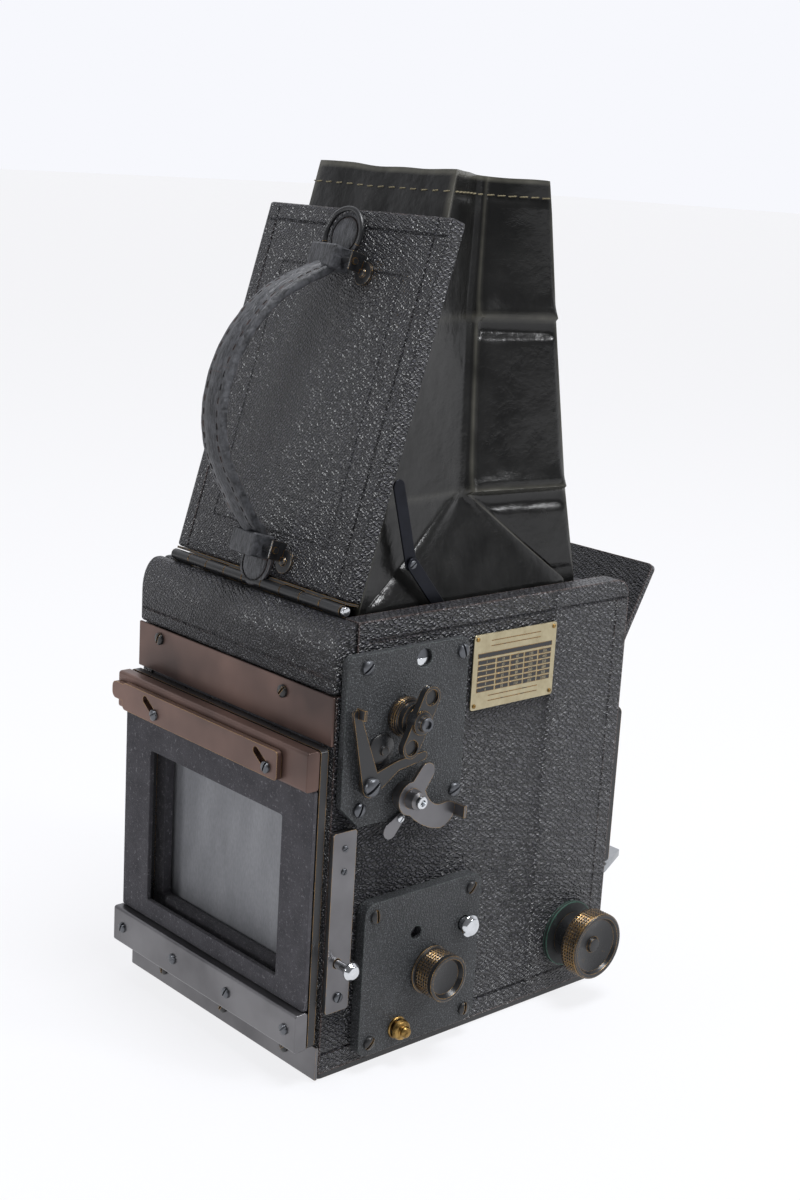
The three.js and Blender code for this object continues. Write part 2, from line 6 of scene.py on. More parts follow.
import bpy
from bpy.props import FloatProperty, FloatVectorProperty, IntProperty, PointerProperty
from mathutils import Matrix, Vector, noise
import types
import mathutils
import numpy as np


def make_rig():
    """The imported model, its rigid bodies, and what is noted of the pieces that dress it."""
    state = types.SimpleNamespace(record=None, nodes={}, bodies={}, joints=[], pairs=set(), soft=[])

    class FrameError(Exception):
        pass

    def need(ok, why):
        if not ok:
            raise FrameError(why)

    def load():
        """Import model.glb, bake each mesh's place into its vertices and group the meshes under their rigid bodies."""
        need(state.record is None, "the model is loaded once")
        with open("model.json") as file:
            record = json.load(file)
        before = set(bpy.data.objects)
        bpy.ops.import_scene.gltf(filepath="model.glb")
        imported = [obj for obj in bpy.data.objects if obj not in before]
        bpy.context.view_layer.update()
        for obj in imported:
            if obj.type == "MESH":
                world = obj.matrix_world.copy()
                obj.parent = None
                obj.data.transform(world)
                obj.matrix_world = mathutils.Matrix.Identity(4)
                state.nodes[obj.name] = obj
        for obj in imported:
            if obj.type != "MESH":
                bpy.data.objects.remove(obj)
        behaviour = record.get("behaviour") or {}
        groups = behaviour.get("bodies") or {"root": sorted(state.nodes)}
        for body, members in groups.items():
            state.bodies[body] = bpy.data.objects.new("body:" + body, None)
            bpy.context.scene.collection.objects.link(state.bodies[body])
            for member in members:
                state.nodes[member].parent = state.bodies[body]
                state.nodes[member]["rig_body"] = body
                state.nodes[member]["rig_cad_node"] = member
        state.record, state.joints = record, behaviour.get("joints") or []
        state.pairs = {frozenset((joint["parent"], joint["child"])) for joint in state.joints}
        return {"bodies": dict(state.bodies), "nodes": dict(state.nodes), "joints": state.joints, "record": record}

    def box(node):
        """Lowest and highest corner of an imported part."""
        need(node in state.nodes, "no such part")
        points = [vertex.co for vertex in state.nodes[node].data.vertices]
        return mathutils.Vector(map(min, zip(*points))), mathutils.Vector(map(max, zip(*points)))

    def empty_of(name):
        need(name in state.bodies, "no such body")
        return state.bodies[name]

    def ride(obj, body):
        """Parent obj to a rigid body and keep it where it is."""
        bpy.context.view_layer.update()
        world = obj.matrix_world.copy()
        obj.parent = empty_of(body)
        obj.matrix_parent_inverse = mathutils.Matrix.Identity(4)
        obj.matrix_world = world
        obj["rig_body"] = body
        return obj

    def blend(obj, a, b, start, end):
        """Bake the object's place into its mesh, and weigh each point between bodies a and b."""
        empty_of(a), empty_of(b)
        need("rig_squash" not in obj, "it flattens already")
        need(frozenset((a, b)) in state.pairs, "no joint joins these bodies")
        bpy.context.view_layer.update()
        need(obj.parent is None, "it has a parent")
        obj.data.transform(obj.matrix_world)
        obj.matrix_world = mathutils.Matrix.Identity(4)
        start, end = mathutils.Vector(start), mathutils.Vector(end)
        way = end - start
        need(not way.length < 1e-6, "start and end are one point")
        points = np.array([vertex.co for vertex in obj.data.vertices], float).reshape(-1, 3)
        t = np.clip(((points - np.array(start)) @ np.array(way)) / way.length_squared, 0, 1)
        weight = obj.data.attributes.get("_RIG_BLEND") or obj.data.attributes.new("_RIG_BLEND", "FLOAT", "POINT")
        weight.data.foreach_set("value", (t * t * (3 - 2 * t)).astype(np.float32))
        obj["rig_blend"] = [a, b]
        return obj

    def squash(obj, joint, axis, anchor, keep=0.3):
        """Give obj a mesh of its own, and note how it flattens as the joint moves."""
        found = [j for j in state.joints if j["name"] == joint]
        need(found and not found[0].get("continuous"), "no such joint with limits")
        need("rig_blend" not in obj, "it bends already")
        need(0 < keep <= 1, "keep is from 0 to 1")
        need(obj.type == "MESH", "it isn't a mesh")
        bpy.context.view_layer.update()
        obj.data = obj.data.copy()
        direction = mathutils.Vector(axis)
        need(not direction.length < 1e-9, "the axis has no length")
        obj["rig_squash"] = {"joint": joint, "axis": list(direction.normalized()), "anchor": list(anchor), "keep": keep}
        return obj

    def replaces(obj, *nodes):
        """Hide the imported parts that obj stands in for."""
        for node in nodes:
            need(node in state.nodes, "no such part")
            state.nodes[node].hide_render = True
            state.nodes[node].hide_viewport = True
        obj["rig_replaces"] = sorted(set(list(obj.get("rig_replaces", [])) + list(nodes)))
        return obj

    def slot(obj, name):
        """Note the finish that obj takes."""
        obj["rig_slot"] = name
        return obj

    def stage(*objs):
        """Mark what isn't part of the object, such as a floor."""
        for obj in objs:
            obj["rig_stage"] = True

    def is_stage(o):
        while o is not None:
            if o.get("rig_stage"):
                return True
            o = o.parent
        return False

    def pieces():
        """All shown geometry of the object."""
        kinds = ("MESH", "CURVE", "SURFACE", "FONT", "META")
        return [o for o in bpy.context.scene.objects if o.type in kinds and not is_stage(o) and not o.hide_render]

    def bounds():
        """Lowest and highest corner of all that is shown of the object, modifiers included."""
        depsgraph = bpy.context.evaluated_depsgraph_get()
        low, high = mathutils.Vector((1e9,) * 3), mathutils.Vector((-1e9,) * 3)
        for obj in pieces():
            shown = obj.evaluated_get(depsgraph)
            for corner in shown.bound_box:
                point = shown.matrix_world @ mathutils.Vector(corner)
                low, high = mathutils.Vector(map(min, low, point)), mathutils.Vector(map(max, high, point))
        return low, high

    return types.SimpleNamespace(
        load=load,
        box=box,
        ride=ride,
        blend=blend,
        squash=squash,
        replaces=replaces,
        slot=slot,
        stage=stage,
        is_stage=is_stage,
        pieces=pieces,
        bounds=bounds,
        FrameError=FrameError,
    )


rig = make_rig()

bl_info = {
    "name": "Plate press camera",
    "version": (1, 0, 0),
    "blender": (4, 5, 0),
    "location": "3D View > Sidebar > Camera",
    "description": "Builds a leather-covered reflex press camera with a folding viewing hood",
    "category": "Object",
}

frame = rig.load()
cad_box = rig.bounds()

MM = 0.001
BODY_OF = {node: body for body, nodes in frame["record"]["behaviour"]["bodies"].items() for node in nodes}
JOINT = {joint["name"]: joint for joint in frame["joints"]}

# Directions on the right-hand side of the case and on the film back
RIGHT_SIDE = Vector((-1, 0, 0))
REAR = Vector((0, 1, 0))

# The lid stands open on its hinge. In its own frame X runs along the hinge, Y points out of
# the lid's outer face and Z runs up the lid.
LID_LEAN = math.radians(16.6)
HINGE = Vector(JOINT["lid_hinge"]["pos_m"])
IN_LID = Matrix.Translation(HINGE) @ Matrix.Rotation(LID_LEAN, 4, "X")


# The viewpoint: angles in degrees, focal length in millimetres, place in metres
VIEW_AZIMUTH, VIEW_ELEVATION, VIEW_ROLL = 227.548, 13.8775, 3.378
VIEW_LENS = 53.47
VIEW_PLACE = (-0.63609, 0.57282, 0.41087)
# The bright end of the studio, beyond the lens side of the camera
SWEEP_WAY = (0.738, -0.675, 0.0)


# ---- colour and materials -----------------------------------------------------------------
PATTERNS = ("TexNoise", "TexVoronoi", "TexWave", "Mapping")


def linear(colour):
    """An sRGB hex colour as linear RGBA."""
    channels = [(colour >> shift & 255) / 255 for shift in (16, 8, 0)]
    return tuple(c / 12.92 if c <= 0.04045 else ((c + 0.055) / 1.055) ** 2.4 for c in channels) + (1.0,)


def add_node(tree, kind, settings=None, links=None):
    """Adds a node, sets its properties and inputs, and links inputs to (node, output) pairs.
    A pattern lies in Object coordinates unless its links say otherwise."""
    node = tree.nodes.new("ShaderNode" + kind)
    if kind in PATTERNS:
        links = {"Vector": (tree.nodes["Texture Coordinate"], "Object"), **(links or {})}
    for name, value in (settings or {}).items():
        if isinstance(name, str) and name in node.bl_rna.properties:
            setattr(node, name, value)
        else:
            node.inputs[name].default_value = value
    for name, (source, output) in (links or {}).items():
        tree.links.new(source.outputs[output], node.inputs[name])
    return node


def blend_colours(tree, share, first, second, spread=None):
    """Mixes two colours, each a hex value or a node with a colour, by a (node, output) share.
    With a spread, the share is stretched so that it runs from 0 to 1 between these two values."""
    if spread:
        share = add_node(tree, "MapRange", {1: spread[0], 2: spread[1], 3: 0.0, 4: 1.0}, {0: share}), 0
    settings, links = {"data_type": "RGBA"}, {0: share}
    for place, colour in ((6, first), (7, second)):
        if isinstance(colour, int):
            settings[place] = linear(colour)
        else:
            links[place] = colour
    return add_node(tree, "Mix", settings, links), 2


def worn_edges(tree, reach, patch, amount):
    """A share that is 1 where rounded edges have rubbed through, in patches of a given size."""
    rounded = add_node(tree, "Bevel", {"samples": 6, "Radius": reach})
    flat = add_node(tree, "NewGeometry")
    lean = add_node(tree, "VectorMath", {"operation": "DOT_PRODUCT"}, {0: (rounded, 0), 1: (flat, "Normal")})
    edge = add_node(tree, "MapRange", {1: 0.995, 2: 0.86, 3: 0.0, 4: 1.0}, {0: (lean, "Value")})
    spots = add_node(tree, "TexNoise", {"Scale": 1 / patch, "Detail": 5.0, "Roughness": 0.65})
    sum_up = add_node(tree, "Math", {"operation": "MULTIPLY_ADD", 1: 2.2}, {0: (spots, 0), 2: (edge, 0)})
    return add_node(tree, "MapRange", {1: 2.3 - amount, 2: 2.6 - amount, 3: 0.0, 4: 1.0}, {0: (sum_up, 0)}), 0


def new_material(name, **shader):
    """A material's node tree and its shader, with the shader's constant values given."""
    material = bpy.data.materials.new(name)
    material.use_nodes = True
    tree = material.node_tree
    tree.nodes.clear()
    add_node(tree, "TexCoord")
    settings = {key.replace("_", " ").title().replace("Ior", "IOR"): value for key, value in shader.items()}
    surface = add_node(tree, "BsdfPrincipled", settings)
    add_node(tree, "OutputMaterial", {}, {"Surface": (surface, 0)})
    return tree, surface


def relief(tree, surface, height, distance, strength=1.0):
    """Raises the surface by a (node, output) height."""
    bump = add_node(tree, "Bump", {"Strength": strength, "Distance": distance}, {"Height": height})
    tree.links.new(bump.outputs[0], surface.inputs["Normal"])


def paint(tree, surface, colour=None, shine=None, metallic=None, spread=(0.3, 0.7)):
    """Links colour and metallic to (node, output) pairs. Shine is a pattern with the least and the most
    roughness, which it gives at the two ends of the spread."""
    roughness = None
    if shine:
        pattern, least, most = shine
        ends = {1: spread[0], 2: spread[1], 3: least, 4: most}
        roughness = add_node(tree, "MapRange", ends, {0: (pattern, 0)}), 0
    for name, source in (("Base Color", colour), ("Roughness", roughness), ("Metallic", metallic)):
        if source:
            tree.links.new(source[0].outputs[source[1]], surface.inputs[name])


def make_leathers(pebble):
    # Pebbled morocco leather with rubbed brown edges; its raised grains are painted paler as a painted highlight, and
    # the hollows between them near black as painted shade.
    # The real grain is about 1 mm, drawn coarser so that it shows
    tree, surface = new_material("pebbled_leather", roughness=0.45, specular_ior_level=0.62)
    slant = add_node(tree, "Mapping", {"Rotation": (0.7, 0.2, 0.4), "Scale": (1.0, 0.62, 1.15)})
    stray = add_node(tree, "TexNoise", {"Scale": 1 / (6 * MM), "Detail": 2.0}, {"Vector": (slant, 0)})
    bent = add_node(tree, "VectorMath", {"operation": "MULTIPLY_ADD", 1: (0.0012, 0.0012, 0.0012)},
                    {0: (stray, "Color"), 2: (slant, 0)})
    grains = add_node(tree, "TexVoronoi", {"feature": "DISTANCE_TO_EDGE", "Scale": 1 / pebble,
                                           "Randomness": 0.5}, {"Vector": (bent, 0)})
    raised = add_node(tree, "MapRange", {1: 0.02, 2: 0.3, 3: 0.0, 4: 1.0}, {0: (grains, 0)})
    pores = add_node(tree, "TexNoise", {"Scale": 1 / (0.5 * MM), "Detail": 3.0})
    height = add_node(tree, "Math", {"operation": "MULTIPLY_ADD", 1: 0.35}, {0: (pores, 0), 2: (raised, 0)})
    relief(tree, surface, (height, 0), 1.5 * MM, 1.0)
    cloud = add_node(tree, "TexNoise", {"Scale": 1 / (28 * MM), "Detail": 4.0, "Roughness": 0.6})
    tone = blend_colours(tree, (cloud, 0), 0x2c2c31, 0x4b4b53)
    # The raised grain tops keep the paler tone as a painted highlight, and the hollows between grains are painted near
    # black as painted shade
    grain = blend_colours(tree, (raised, 0), 0x040405, tone)
    rubbed = worn_edges(tree, 2.0 * MM, 9 * MM, 0.62)
    paint(tree, surface, blend_colours(tree, rubbed, grain, 0x5c4a45), (cloud, 0.29, 0.36))

    # Smooth goat leather for the hood: thin, waxed, with fine creases, and paler folds that are partly rubbed wear and
    # partly a painted highlight along the creases, corners, ridge and top edge
    tree, surface = new_material("waxed_goatskin", roughness=0.24, specular_ior_level=0.4)
    creases = add_node(tree, "TexVoronoi", {"feature": "DISTANCE_TO_EDGE", "Scale": 1 / (0.9 * MM)})
    waves = add_node(tree, "TexNoise", {"Scale": 1 / (14 * MM), "Detail": 4.0, "Roughness": 0.55})
    height = add_node(tree, "Math", {"operation": "MULTIPLY_ADD", 1: 0.06}, {0: (creases, 0), 2: (waves, 0)})
    relief(tree, surface, (height, 0), 1.1 * MM, 0.6)
    tone = blend_colours(tree, (waves, 0), 0x0d0d0d, 0x1d1d1c)
    # This mesh attribute marks the pale folds: rubbed wear, and a painted highlight where the creases, corners and top
    # edge would catch light
    fold_wear_and_highlight = add_node(tree, "Attribute", {"attribute_name": "rub"})
    patchy = add_node(tree, "Math", {"operation": "MULTIPLY"}, {0: (fold_wear_and_highlight, "Fac"), 1: (waves, 0)})
    paint(tree, surface, blend_colours(tree, (patchy, 0), tone, 0x6e6c62), (waves, 0.16, 0.28))

    # Bridle leather of the handle: greyed and cracked where the hand rubs, red-brown at the edges
    tree, surface = new_material("strap_leather", roughness=0.5, specular_ior_level=0.5)
    along = add_node(tree, "Mapping", {"Scale": (1.0, 0.22, 0.22)})
    cracks = add_node(tree, "TexVoronoi", {"feature": "DISTANCE_TO_EDGE", "Scale": 1 / (1.2 * MM)},
                      {"Vector": (along, 0)})
    open_up = add_node(tree, "MapRange", {1: 0.0, 2: 0.22, 3: 0.0, 4: 1.0}, {0: (cracks, 0)})
    streaks = add_node(tree, "TexNoise", {"Scale": 1 / (1.0 * MM), "Detail": 6.0, "Roughness": 0.75},
                       {"Vector": (along, 0)})
    height = add_node(tree, "Math", {"operation": "MULTIPLY_ADD", 1: 0.8}, {0: (streaks, 0), 2: (open_up, 0)})
    relief(tree, surface, (height, 0), 0.22 * MM, 0.8)
    grey = blend_colours(tree, (streaks, 0), 0x232426, 0x505155, (0.38, 0.62))
    rubbed = worn_edges(tree, 0.7 * MM, 12 * MM, 0.45)
    paint(tree, surface, blend_colours(tree, rubbed, grey, 0x57382c))

    # Waxed thread, twisted: dull tan linen in the hood, black in the handle
    for name, dark, pale in (("linen_thread", 0x4d4634, 0x8f8568), ("black_thread", 0x050505, 0x1c1c1e)):
        tree, surface = new_material(name, roughness=0.8)
        twist = add_node(tree, "TexWave", {"bands_direction": "DIAGONAL", "Scale": 1 / (1.6 * MM),
                                           "Distortion": 1.0})
        relief(tree, surface, (twist, 0), 0.1 * MM)
        paint(tree, surface, blend_colours(tree, (twist, 0), dark, pale))


def make_enamels():
    # Black japanned brass: a glossy dark coat, rubbed to brass along its edges, and more on the knurled rims
    for name, wear in (("worn_black_enamel", 0.62), ("rubbed_black_enamel", 0.84)):
        tree, surface = new_material(name, metallic=0.0)
        cloud = add_node(tree, "TexNoise", {"Scale": 1 / (11 * MM), "Detail": 6.0, "Roughness": 0.65})
        lacquer = blend_colours(tree, (cloud, 0), 0x161617, 0x262729)
        bare = worn_edges(tree, 0.55 * MM, 5 * MM, wear)
        paint(tree, surface, blend_colours(tree, bare, lacquer, 0xb08a50), (cloud, 0.22, 0.42), bare)
        dust = add_node(tree, "TexNoise", {"Scale": 1 / (0.6 * MM), "Detail": 2.0})
        relief(tree, surface, (dust, 0), 0.05 * MM, 0.5)

    # Blackened brass of the rails and levers: gunmetal grey, satin, clouded, bare in patches at its edges
    tree, surface = new_material("blackened_brass", metallic=0.9)
    cloud = add_node(tree, "TexNoise", {"Scale": 1 / (45 * MM), "Detail": 4.0, "Roughness": 0.5})
    lacquer = blend_colours(tree, (cloud, 0), 0x605f61, 0x7c7b7d, (0.35, 0.65))
    bare = worn_edges(tree, 0.55 * MM, 5 * MM, 0.5)
    paint(tree, surface, blend_colours(tree, bare, lacquer, 0xb8945a), (cloud, 0.28, 0.42))
    dust = add_node(tree, "TexNoise", {"Scale": 1 / (0.9 * MM), "Detail": 3.0})
    relief(tree, surface, (dust, 0), 0.04 * MM, 0.4)

    # Wrinkle enamel of the plates: dull, finely crackled, with a little green tarnish dust
    tree, surface = new_material("crackle_enamel", roughness=0.55, metallic=0.0)
    cells = add_node(tree, "TexVoronoi", {"Scale": 1 / (0.9 * MM)})
    fine = add_node(tree, "TexNoise", {"Scale": 1 / (0.7 * MM), "Detail": 4.0})
    height = add_node(tree, "Math", {"operation": "ADD"}, {0: (cells, 0), 1: (fine, 0)})
    relief(tree, surface, (height, 0), 0.4 * MM, 0.8)
    cloud = add_node(tree, "TexNoise", {"Scale": 1 / (16 * MM), "Detail": 4.0})
    speck = add_node(tree, "MapRange", {1: 0.52, 2: 0.68, 3: 0.0, 4: 1.0}, {0: (fine, 0)})
    tone = blend_colours(tree, (speck, 0), blend_colours(tree, (cloud, 0), 0x1c1d1f, 0x2c2e30), 0x5a5d60)
    rubbed = worn_edges(tree, 0.9 * MM, 4 * MM, 0.55)
    paint(tree, surface, blend_colours(tree, rubbed, tone, 0x4d5a55))

    # Bronzed brass of the rear plate and rails: brown lacquer clouded with black
    tree, surface = new_material("patinated_bronze", metallic=0.65)
    cloud = add_node(tree, "TexNoise", {"Scale": 1 / (52 * MM), "Detail": 3.0, "Roughness": 0.45})
    tone = blend_colours(tree, (cloud, 0), 0x453733, 0x7b6259, (0.35, 0.65))
    bare = worn_edges(tree, 0.55 * MM, 5 * MM, 0.6)
    paint(tree, surface, blend_colours(tree, bare, tone, 0xb08d55), (cloud, 0.32, 0.46))
    drawn = add_node(tree, "Mapping", {"Scale": (0.05, 1.0, 1.0)})
    lines = add_node(tree, "TexNoise", {"Scale": 1 / (0.8 * MM), "Detail": 2.0}, {"Vector": (drawn, 0)})
    relief(tree, surface, (lines, 0), 0.03 * MM, 0.4)


def make_metals():
    # Tarnished brass: warm metal dulled brown, with verdigris in its corners
    tree, surface = new_material("tarnished_brass", metallic=1.0)
    cloud = add_node(tree, "TexNoise", {"Scale": 1 / (4 * MM), "Detail": 6.0, "Roughness": 0.7})
    tone = blend_colours(tree, (cloud, 0), 0x5a4526, 0xb8965a, (0.35, 0.65))
    paint(tree, surface, tone, (cloud, 0.24, 0.5))
    relief(tree, surface, (cloud, 0), 0.08 * MM, 0.3)

    # Verdigrised brass collar: dark metal with a green bloom on its rim
    tree, surface = new_material("verdigris_brass", metallic=0.0, roughness=0.6)
    cloud = add_node(tree, "TexNoise", {"Scale": 1 / (3 * MM), "Detail": 6.0, "Roughness": 0.7})
    bloom = worn_edges(tree, 1.2 * MM, 3 * MM, 0.9)
    tone = blend_colours(tree, (cloud, 0), 0x101112, 0x27292a)
    paint(tree, surface, blend_colours(tree, bloom, tone, 0x3c6a58))
    relief(tree, surface, (cloud, 0), 0.15 * MM, 0.5)

    # Nickel plate: bright and cool, slightly clouded and scratched
    for name, low, high, shine in (("bright_nickel", 0xb9bcc0, 0xe4e6e8, (0.08, 0.2)),
                                   ("dull_steel", 0x4a4c50, 0x77797d, (0.28, 0.45))):
        tree, surface = new_material(name, metallic=1.0)
        cloud = add_node(tree, "TexNoise", {"Scale": 1 / (5 * MM), "Detail": 5.0, "Roughness": 0.6})
        paint(tree, surface, blend_colours(tree, (cloud, 0), low, high), (cloud, *shine))
        relief(tree, surface, (cloud, 0), 0.03 * MM, 0.3)

    # Blued steel of the lid stays: deep blue-black, worn bare along the edges
    tree, surface = new_material("blued_steel", metallic=0.8)
    cloud = add_node(tree, "TexNoise", {"Scale": 1 / (8 * MM), "Detail": 5.0})
    bare = worn_edges(tree, 0.5 * MM, 4 * MM, 0.3)
    paint(tree, surface, blend_colours(tree, bare, blend_colours(tree, (cloud, 0), 0x0f1014, 0x24262e),
                                       0x8a8c8f),
          (cloud, 0.28, 0.42))

    # Satin aluminium of the bed: pale, drawn along its length
    tree, surface = new_material("satin_aluminium", metallic=1.0)
    drawn = add_node(tree, "Mapping", {"Scale": (1.0, 0.04, 1.0)})
    lines = add_node(tree, "TexNoise", {"Scale": 1 / (0.6 * MM), "Detail": 3.0}, {"Vector": (drawn, 0)})
    paint(tree, surface, blend_colours(tree, (lines, 0), 0x8e9194, 0xb9bbbd), (lines, 0.3, 0.45))
    relief(tree, surface, (lines, 0), 0.04 * MM, 0.4)

    # Etched silvered brass of the speed table: pale gold-grey with faint scuffs
    tree, surface = new_material("silvered_brass", metallic=1.0)
    cloud = add_node(tree, "TexNoise", {"Scale": 1 / (7 * MM), "Detail": 6.0, "Roughness": 0.65})
    paint(tree, surface, blend_colours(tree, (cloud, 0), 0x8d7f62, 0xcdc4a6), (cloud, 0.26, 0.42))
    relief(tree, surface, (cloud, 0), 0.04 * MM, 0.4)


def make_cloths():
    # Cotton velvet of the light trap: deep black pile that catches grey lint
    tree, surface = new_material("cotton_velvet", roughness=1.0, specular_ior_level=0.1, sheen_weight=0.12,
                                 sheen_roughness=0.4)
    pile = add_node(tree, "TexNoise", {"Scale": 1 / (0.8 * MM), "Detail": 4.0, "Roughness": 0.7})
    relief(tree, surface, (pile, 0), 0.5 * MM, 0.8)
    stray = add_node(tree, "TexNoise", {"Scale": 1 / (1.7 * MM), "Detail": 6.0, "Roughness": 0.8})
    lint = add_node(tree, "MapRange", {1: 0.56, 2: 0.7, 3: 0.0, 4: 0.7}, {0: (stray, 0)})
    pressed = add_node(tree, "TexNoise", {"Scale": 1 / (9 * MM), "Detail": 3.0})
    tone = blend_colours(tree, (pressed, 0), 0x38373b, 0x565559)
    paint(tree, surface, blend_colours(tree, (lint, 0), tone, 0x9a999d))

    # Rubberised silk of the shutter curtain: grey, thin, with soft upright wrinkles
    tree, surface = new_material("rubberised_silk", roughness=0.62)
    hang = add_node(tree, "Mapping", {"Scale": (1.0, 1.0, 0.35)})
    wrinkles = add_node(tree, "TexNoise", {"Scale": 1 / (16 * MM), "Detail": 5.0, "Roughness": 0.6},
                        {"Vector": (hang, 0)})
    relief(tree, surface, (wrinkles, 0), 1.2 * MM, 0.7)
    weave = add_node(tree, "TexNoise", {"Scale": 1 / (0.9 * MM), "Detail": 2.0}, {"Vector": (hang, 0)})
    tone = blend_colours(tree, (wrinkles, 0), 0x6a6b6f, 0x9a9b9f)
    threads = add_node(tree, "MapRange", {1: 0.3, 2: 0.7, 3: 0.0, 4: 0.25}, {0: (weave, 0)})
    paint(tree, surface, blend_colours(tree, (threads, 0), tone, 0x4c4e52))


def make_plain_finishes():
    # Oiled mahogany of the case floor: long brown figure
    tree, surface = new_material("mahogany", roughness=0.5)
    long_way = add_node(tree, "Mapping", {"Scale": (1.0, 0.08, 1.0)})
    figure = add_node(tree, "TexNoise", {"Scale": 1 / (2 * MM), "Detail": 4.0, "Distortion": 0.6},
                      {"Vector": (long_way, 0)})
    paint(tree, surface, blend_colours(tree, (figure, 0), 0x3a2013, 0x74482a))
    relief(tree, surface, (figure, 0), 0.1 * MM, 0.4)

    # Ground glass of the viewing screen: clear body with a finely frosted face
    tree, surface = new_material("ground_glass", transmission_weight=0.9, ior=1.52,
                                 base_color=linear(0xdfe8e4))
    frost = add_node(tree, "TexNoise", {"Scale": 1 / (0.5 * MM), "Detail": 3.0})
    paint(tree, surface, None, (frost, 0.25, 0.4))

    # Coated lens glass: clear, with a faint smear
    tree, surface = new_material("lens_glass", transmission_weight=1.0, ior=1.52, base_color=linear(0xeef2f1))
    smear = add_node(tree, "TexNoise", {"Scale": 1 / (6 * MM), "Detail": 3.0})
    paint(tree, surface, None, (smear, 0.01, 0.05))

    # Silvered mirror: bright, a little spotted
    tree, surface = new_material("silvered_mirror", metallic=1.0)
    spots = add_node(tree, "TexNoise", {"Scale": 1 / (5 * MM), "Detail": 5.0})
    paint(tree, surface, blend_colours(tree, (spots, 0), 0xc3c8cb, 0xe6eaec),
          (spots, 0.02, 0.12), spread=(0.4, 0.8))

    # Studio paper: pale, nearly white, barely mottled
    tree, surface = new_material("studio_paper", roughness=0.9, specular_ior_level=0.1,
                                        emission_color=linear(0xfafafc), emission_strength=0.86)
    fibre = add_node(tree, "TexNoise", {"Scale": 1 / (3 * MM), "Detail": 4.0})
    paint(tree, surface, blend_colours(tree, (fibre, 0), 0x5c5d60, 0x606164))
    relief(tree, surface, (fibre, 0), 0.1 * MM, 0.3)


# ---- modelling ----------------------------------------------------------------------------
def take(*pieces):
    """Leaves only these pieces selected, the first one active."""
    bpy.ops.object.select_all(action="DESELECT")
    for piece in pieces:
        piece.select_set(True)
    bpy.context.view_layer.objects.active = pieces[0]
    return pieces[0]


def settle(piece):
    """Puts a piece's place into its mesh."""
    take(piece)
    bpy.ops.object.transform_apply(location=True, rotation=True, scale=True)
    return piece


def named(name):
    """Names the primitive just added."""
    piece = bpy.context.object
    piece.name = piece.data.name = name
    return piece


def block(name, low, high):
    """A block between two corners."""
    low, high = Vector(low), Vector(high)
    bpy.ops.object.select_all(action="DESELECT")
    bpy.ops.mesh.primitive_cube_add(size=1, location=(low + high) / 2)
    piece = named(name)
    piece.scale = high - low
    return settle(piece)


def rod(name, radius, start, end, sides=24):
    """A round rod or disc between two points."""
    start, end = Vector(start), Vector(end)
    way = end - start
    bpy.ops.object.select_all(action="DESELECT")
    bpy.ops.mesh.primitive_cylinder_add(vertices=sides, radius=radius, depth=way.length,
                                        location=(start + end) / 2,
                                        rotation=way.to_track_quat("Z", "Y").to_euler())
    return settle(named(name))


def work(piece, wanted, *steps):
    """Selects the faces whose centre and normal pass a test, and works them in edit mode."""
    take(piece)
    bpy.ops.object.mode_set(mode="EDIT")
    bpy.ops.mesh.select_mode(type="FACE")
    bpy.ops.mesh.select_all(action="DESELECT")
    bpy.ops.object.mode_set(mode="OBJECT")
    for face in piece.data.polygons:
        face.select = wanted(face.center, face.normal)
    bpy.ops.object.mode_set(mode="EDIT")
    for step, settings in steps:
        step(**settings)
    bpy.ops.object.mode_set(mode="OBJECT")
    return piece


def modify(piece, kind, **settings):
    """Adds a modifier and applies it."""
    modifier = piece.modifiers.new(kind.title(), kind)
    for name, value in settings.items():
        setattr(modifier, name, value)
    take(piece)
    bpy.ops.object.modifier_apply(modifier=modifier.name)
    return piece


def soften(piece, width, segments=2, angle=32):
    """Rounds a piece's edges and shades it smooth across them."""
    modify(piece, "BEVEL", width=width, segments=segments, limit_method="ANGLE",
           angle_limit=math.radians(angle))
    return shade(piece)


def shade(piece, angle=38):
    """Smooth shading up to an angle, with flat faces kept flat."""
    take(piece)
    bpy.ops.object.shade_smooth_by_angle(angle=math.radians(angle))
    return modify(piece, "WEIGHTED_NORMAL", keep_sharp=True)


def carve(piece, *cutters, operation="DIFFERENCE"):
    """Cuts other pieces out of a piece, or joins them to it, and removes them."""
    for cutter in cutters:
        modify(piece, "BOOLEAN", object=cutter, operation=operation, solver="EXACT")
        bpy.data.objects.remove(cutter)
    return piece


def merge(name, pieces):
    """Joins pieces into one."""
    take(*pieces)
    bpy.ops.object.join()
    return named(name)


def copy_of(template, name, place):
    """A copy of a template, with its own mesh, put in place."""
    piece = bpy.data.objects.new(name, template.data.copy())
    bpy.context.scene.collection.objects.link(piece)
    piece.data.transform(place)
    return piece


def facing(point, outward, turn=0.0, scale=1.0):
    """A place for a template that was made facing up."""
    face = Vector(outward).to_track_quat("Z", "Y").to_matrix().to_4x4()
    return Matrix.Translation(point) @ face @ Matrix.Rotation(turn, 4, "Z") @ Matrix.Scale(scale, 4)


def coat(piece, *finishes):
    """Gives a piece its material or materials."""
    if len(piece.data.materials) != len(finishes):
        piece.data.materials.clear()
        for name in finishes:
            piece.data.materials.append(bpy.data.materials[name])
    else:
        for i, name in enumerate(finishes):
            piece.data.materials[i] = bpy.data.materials[name]
    return piece


def fit(piece, body, slot, *stands_for):
    """Lets a finished piece ride on its body, with its finish slot and the CAD nodes it stands for."""
    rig.slot(piece, slot)
    if "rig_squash" not in piece and "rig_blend" not in piece:
        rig.ride(piece, body)
    if stands_for:
        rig.replaces(piece, *stands_for)
    return piece


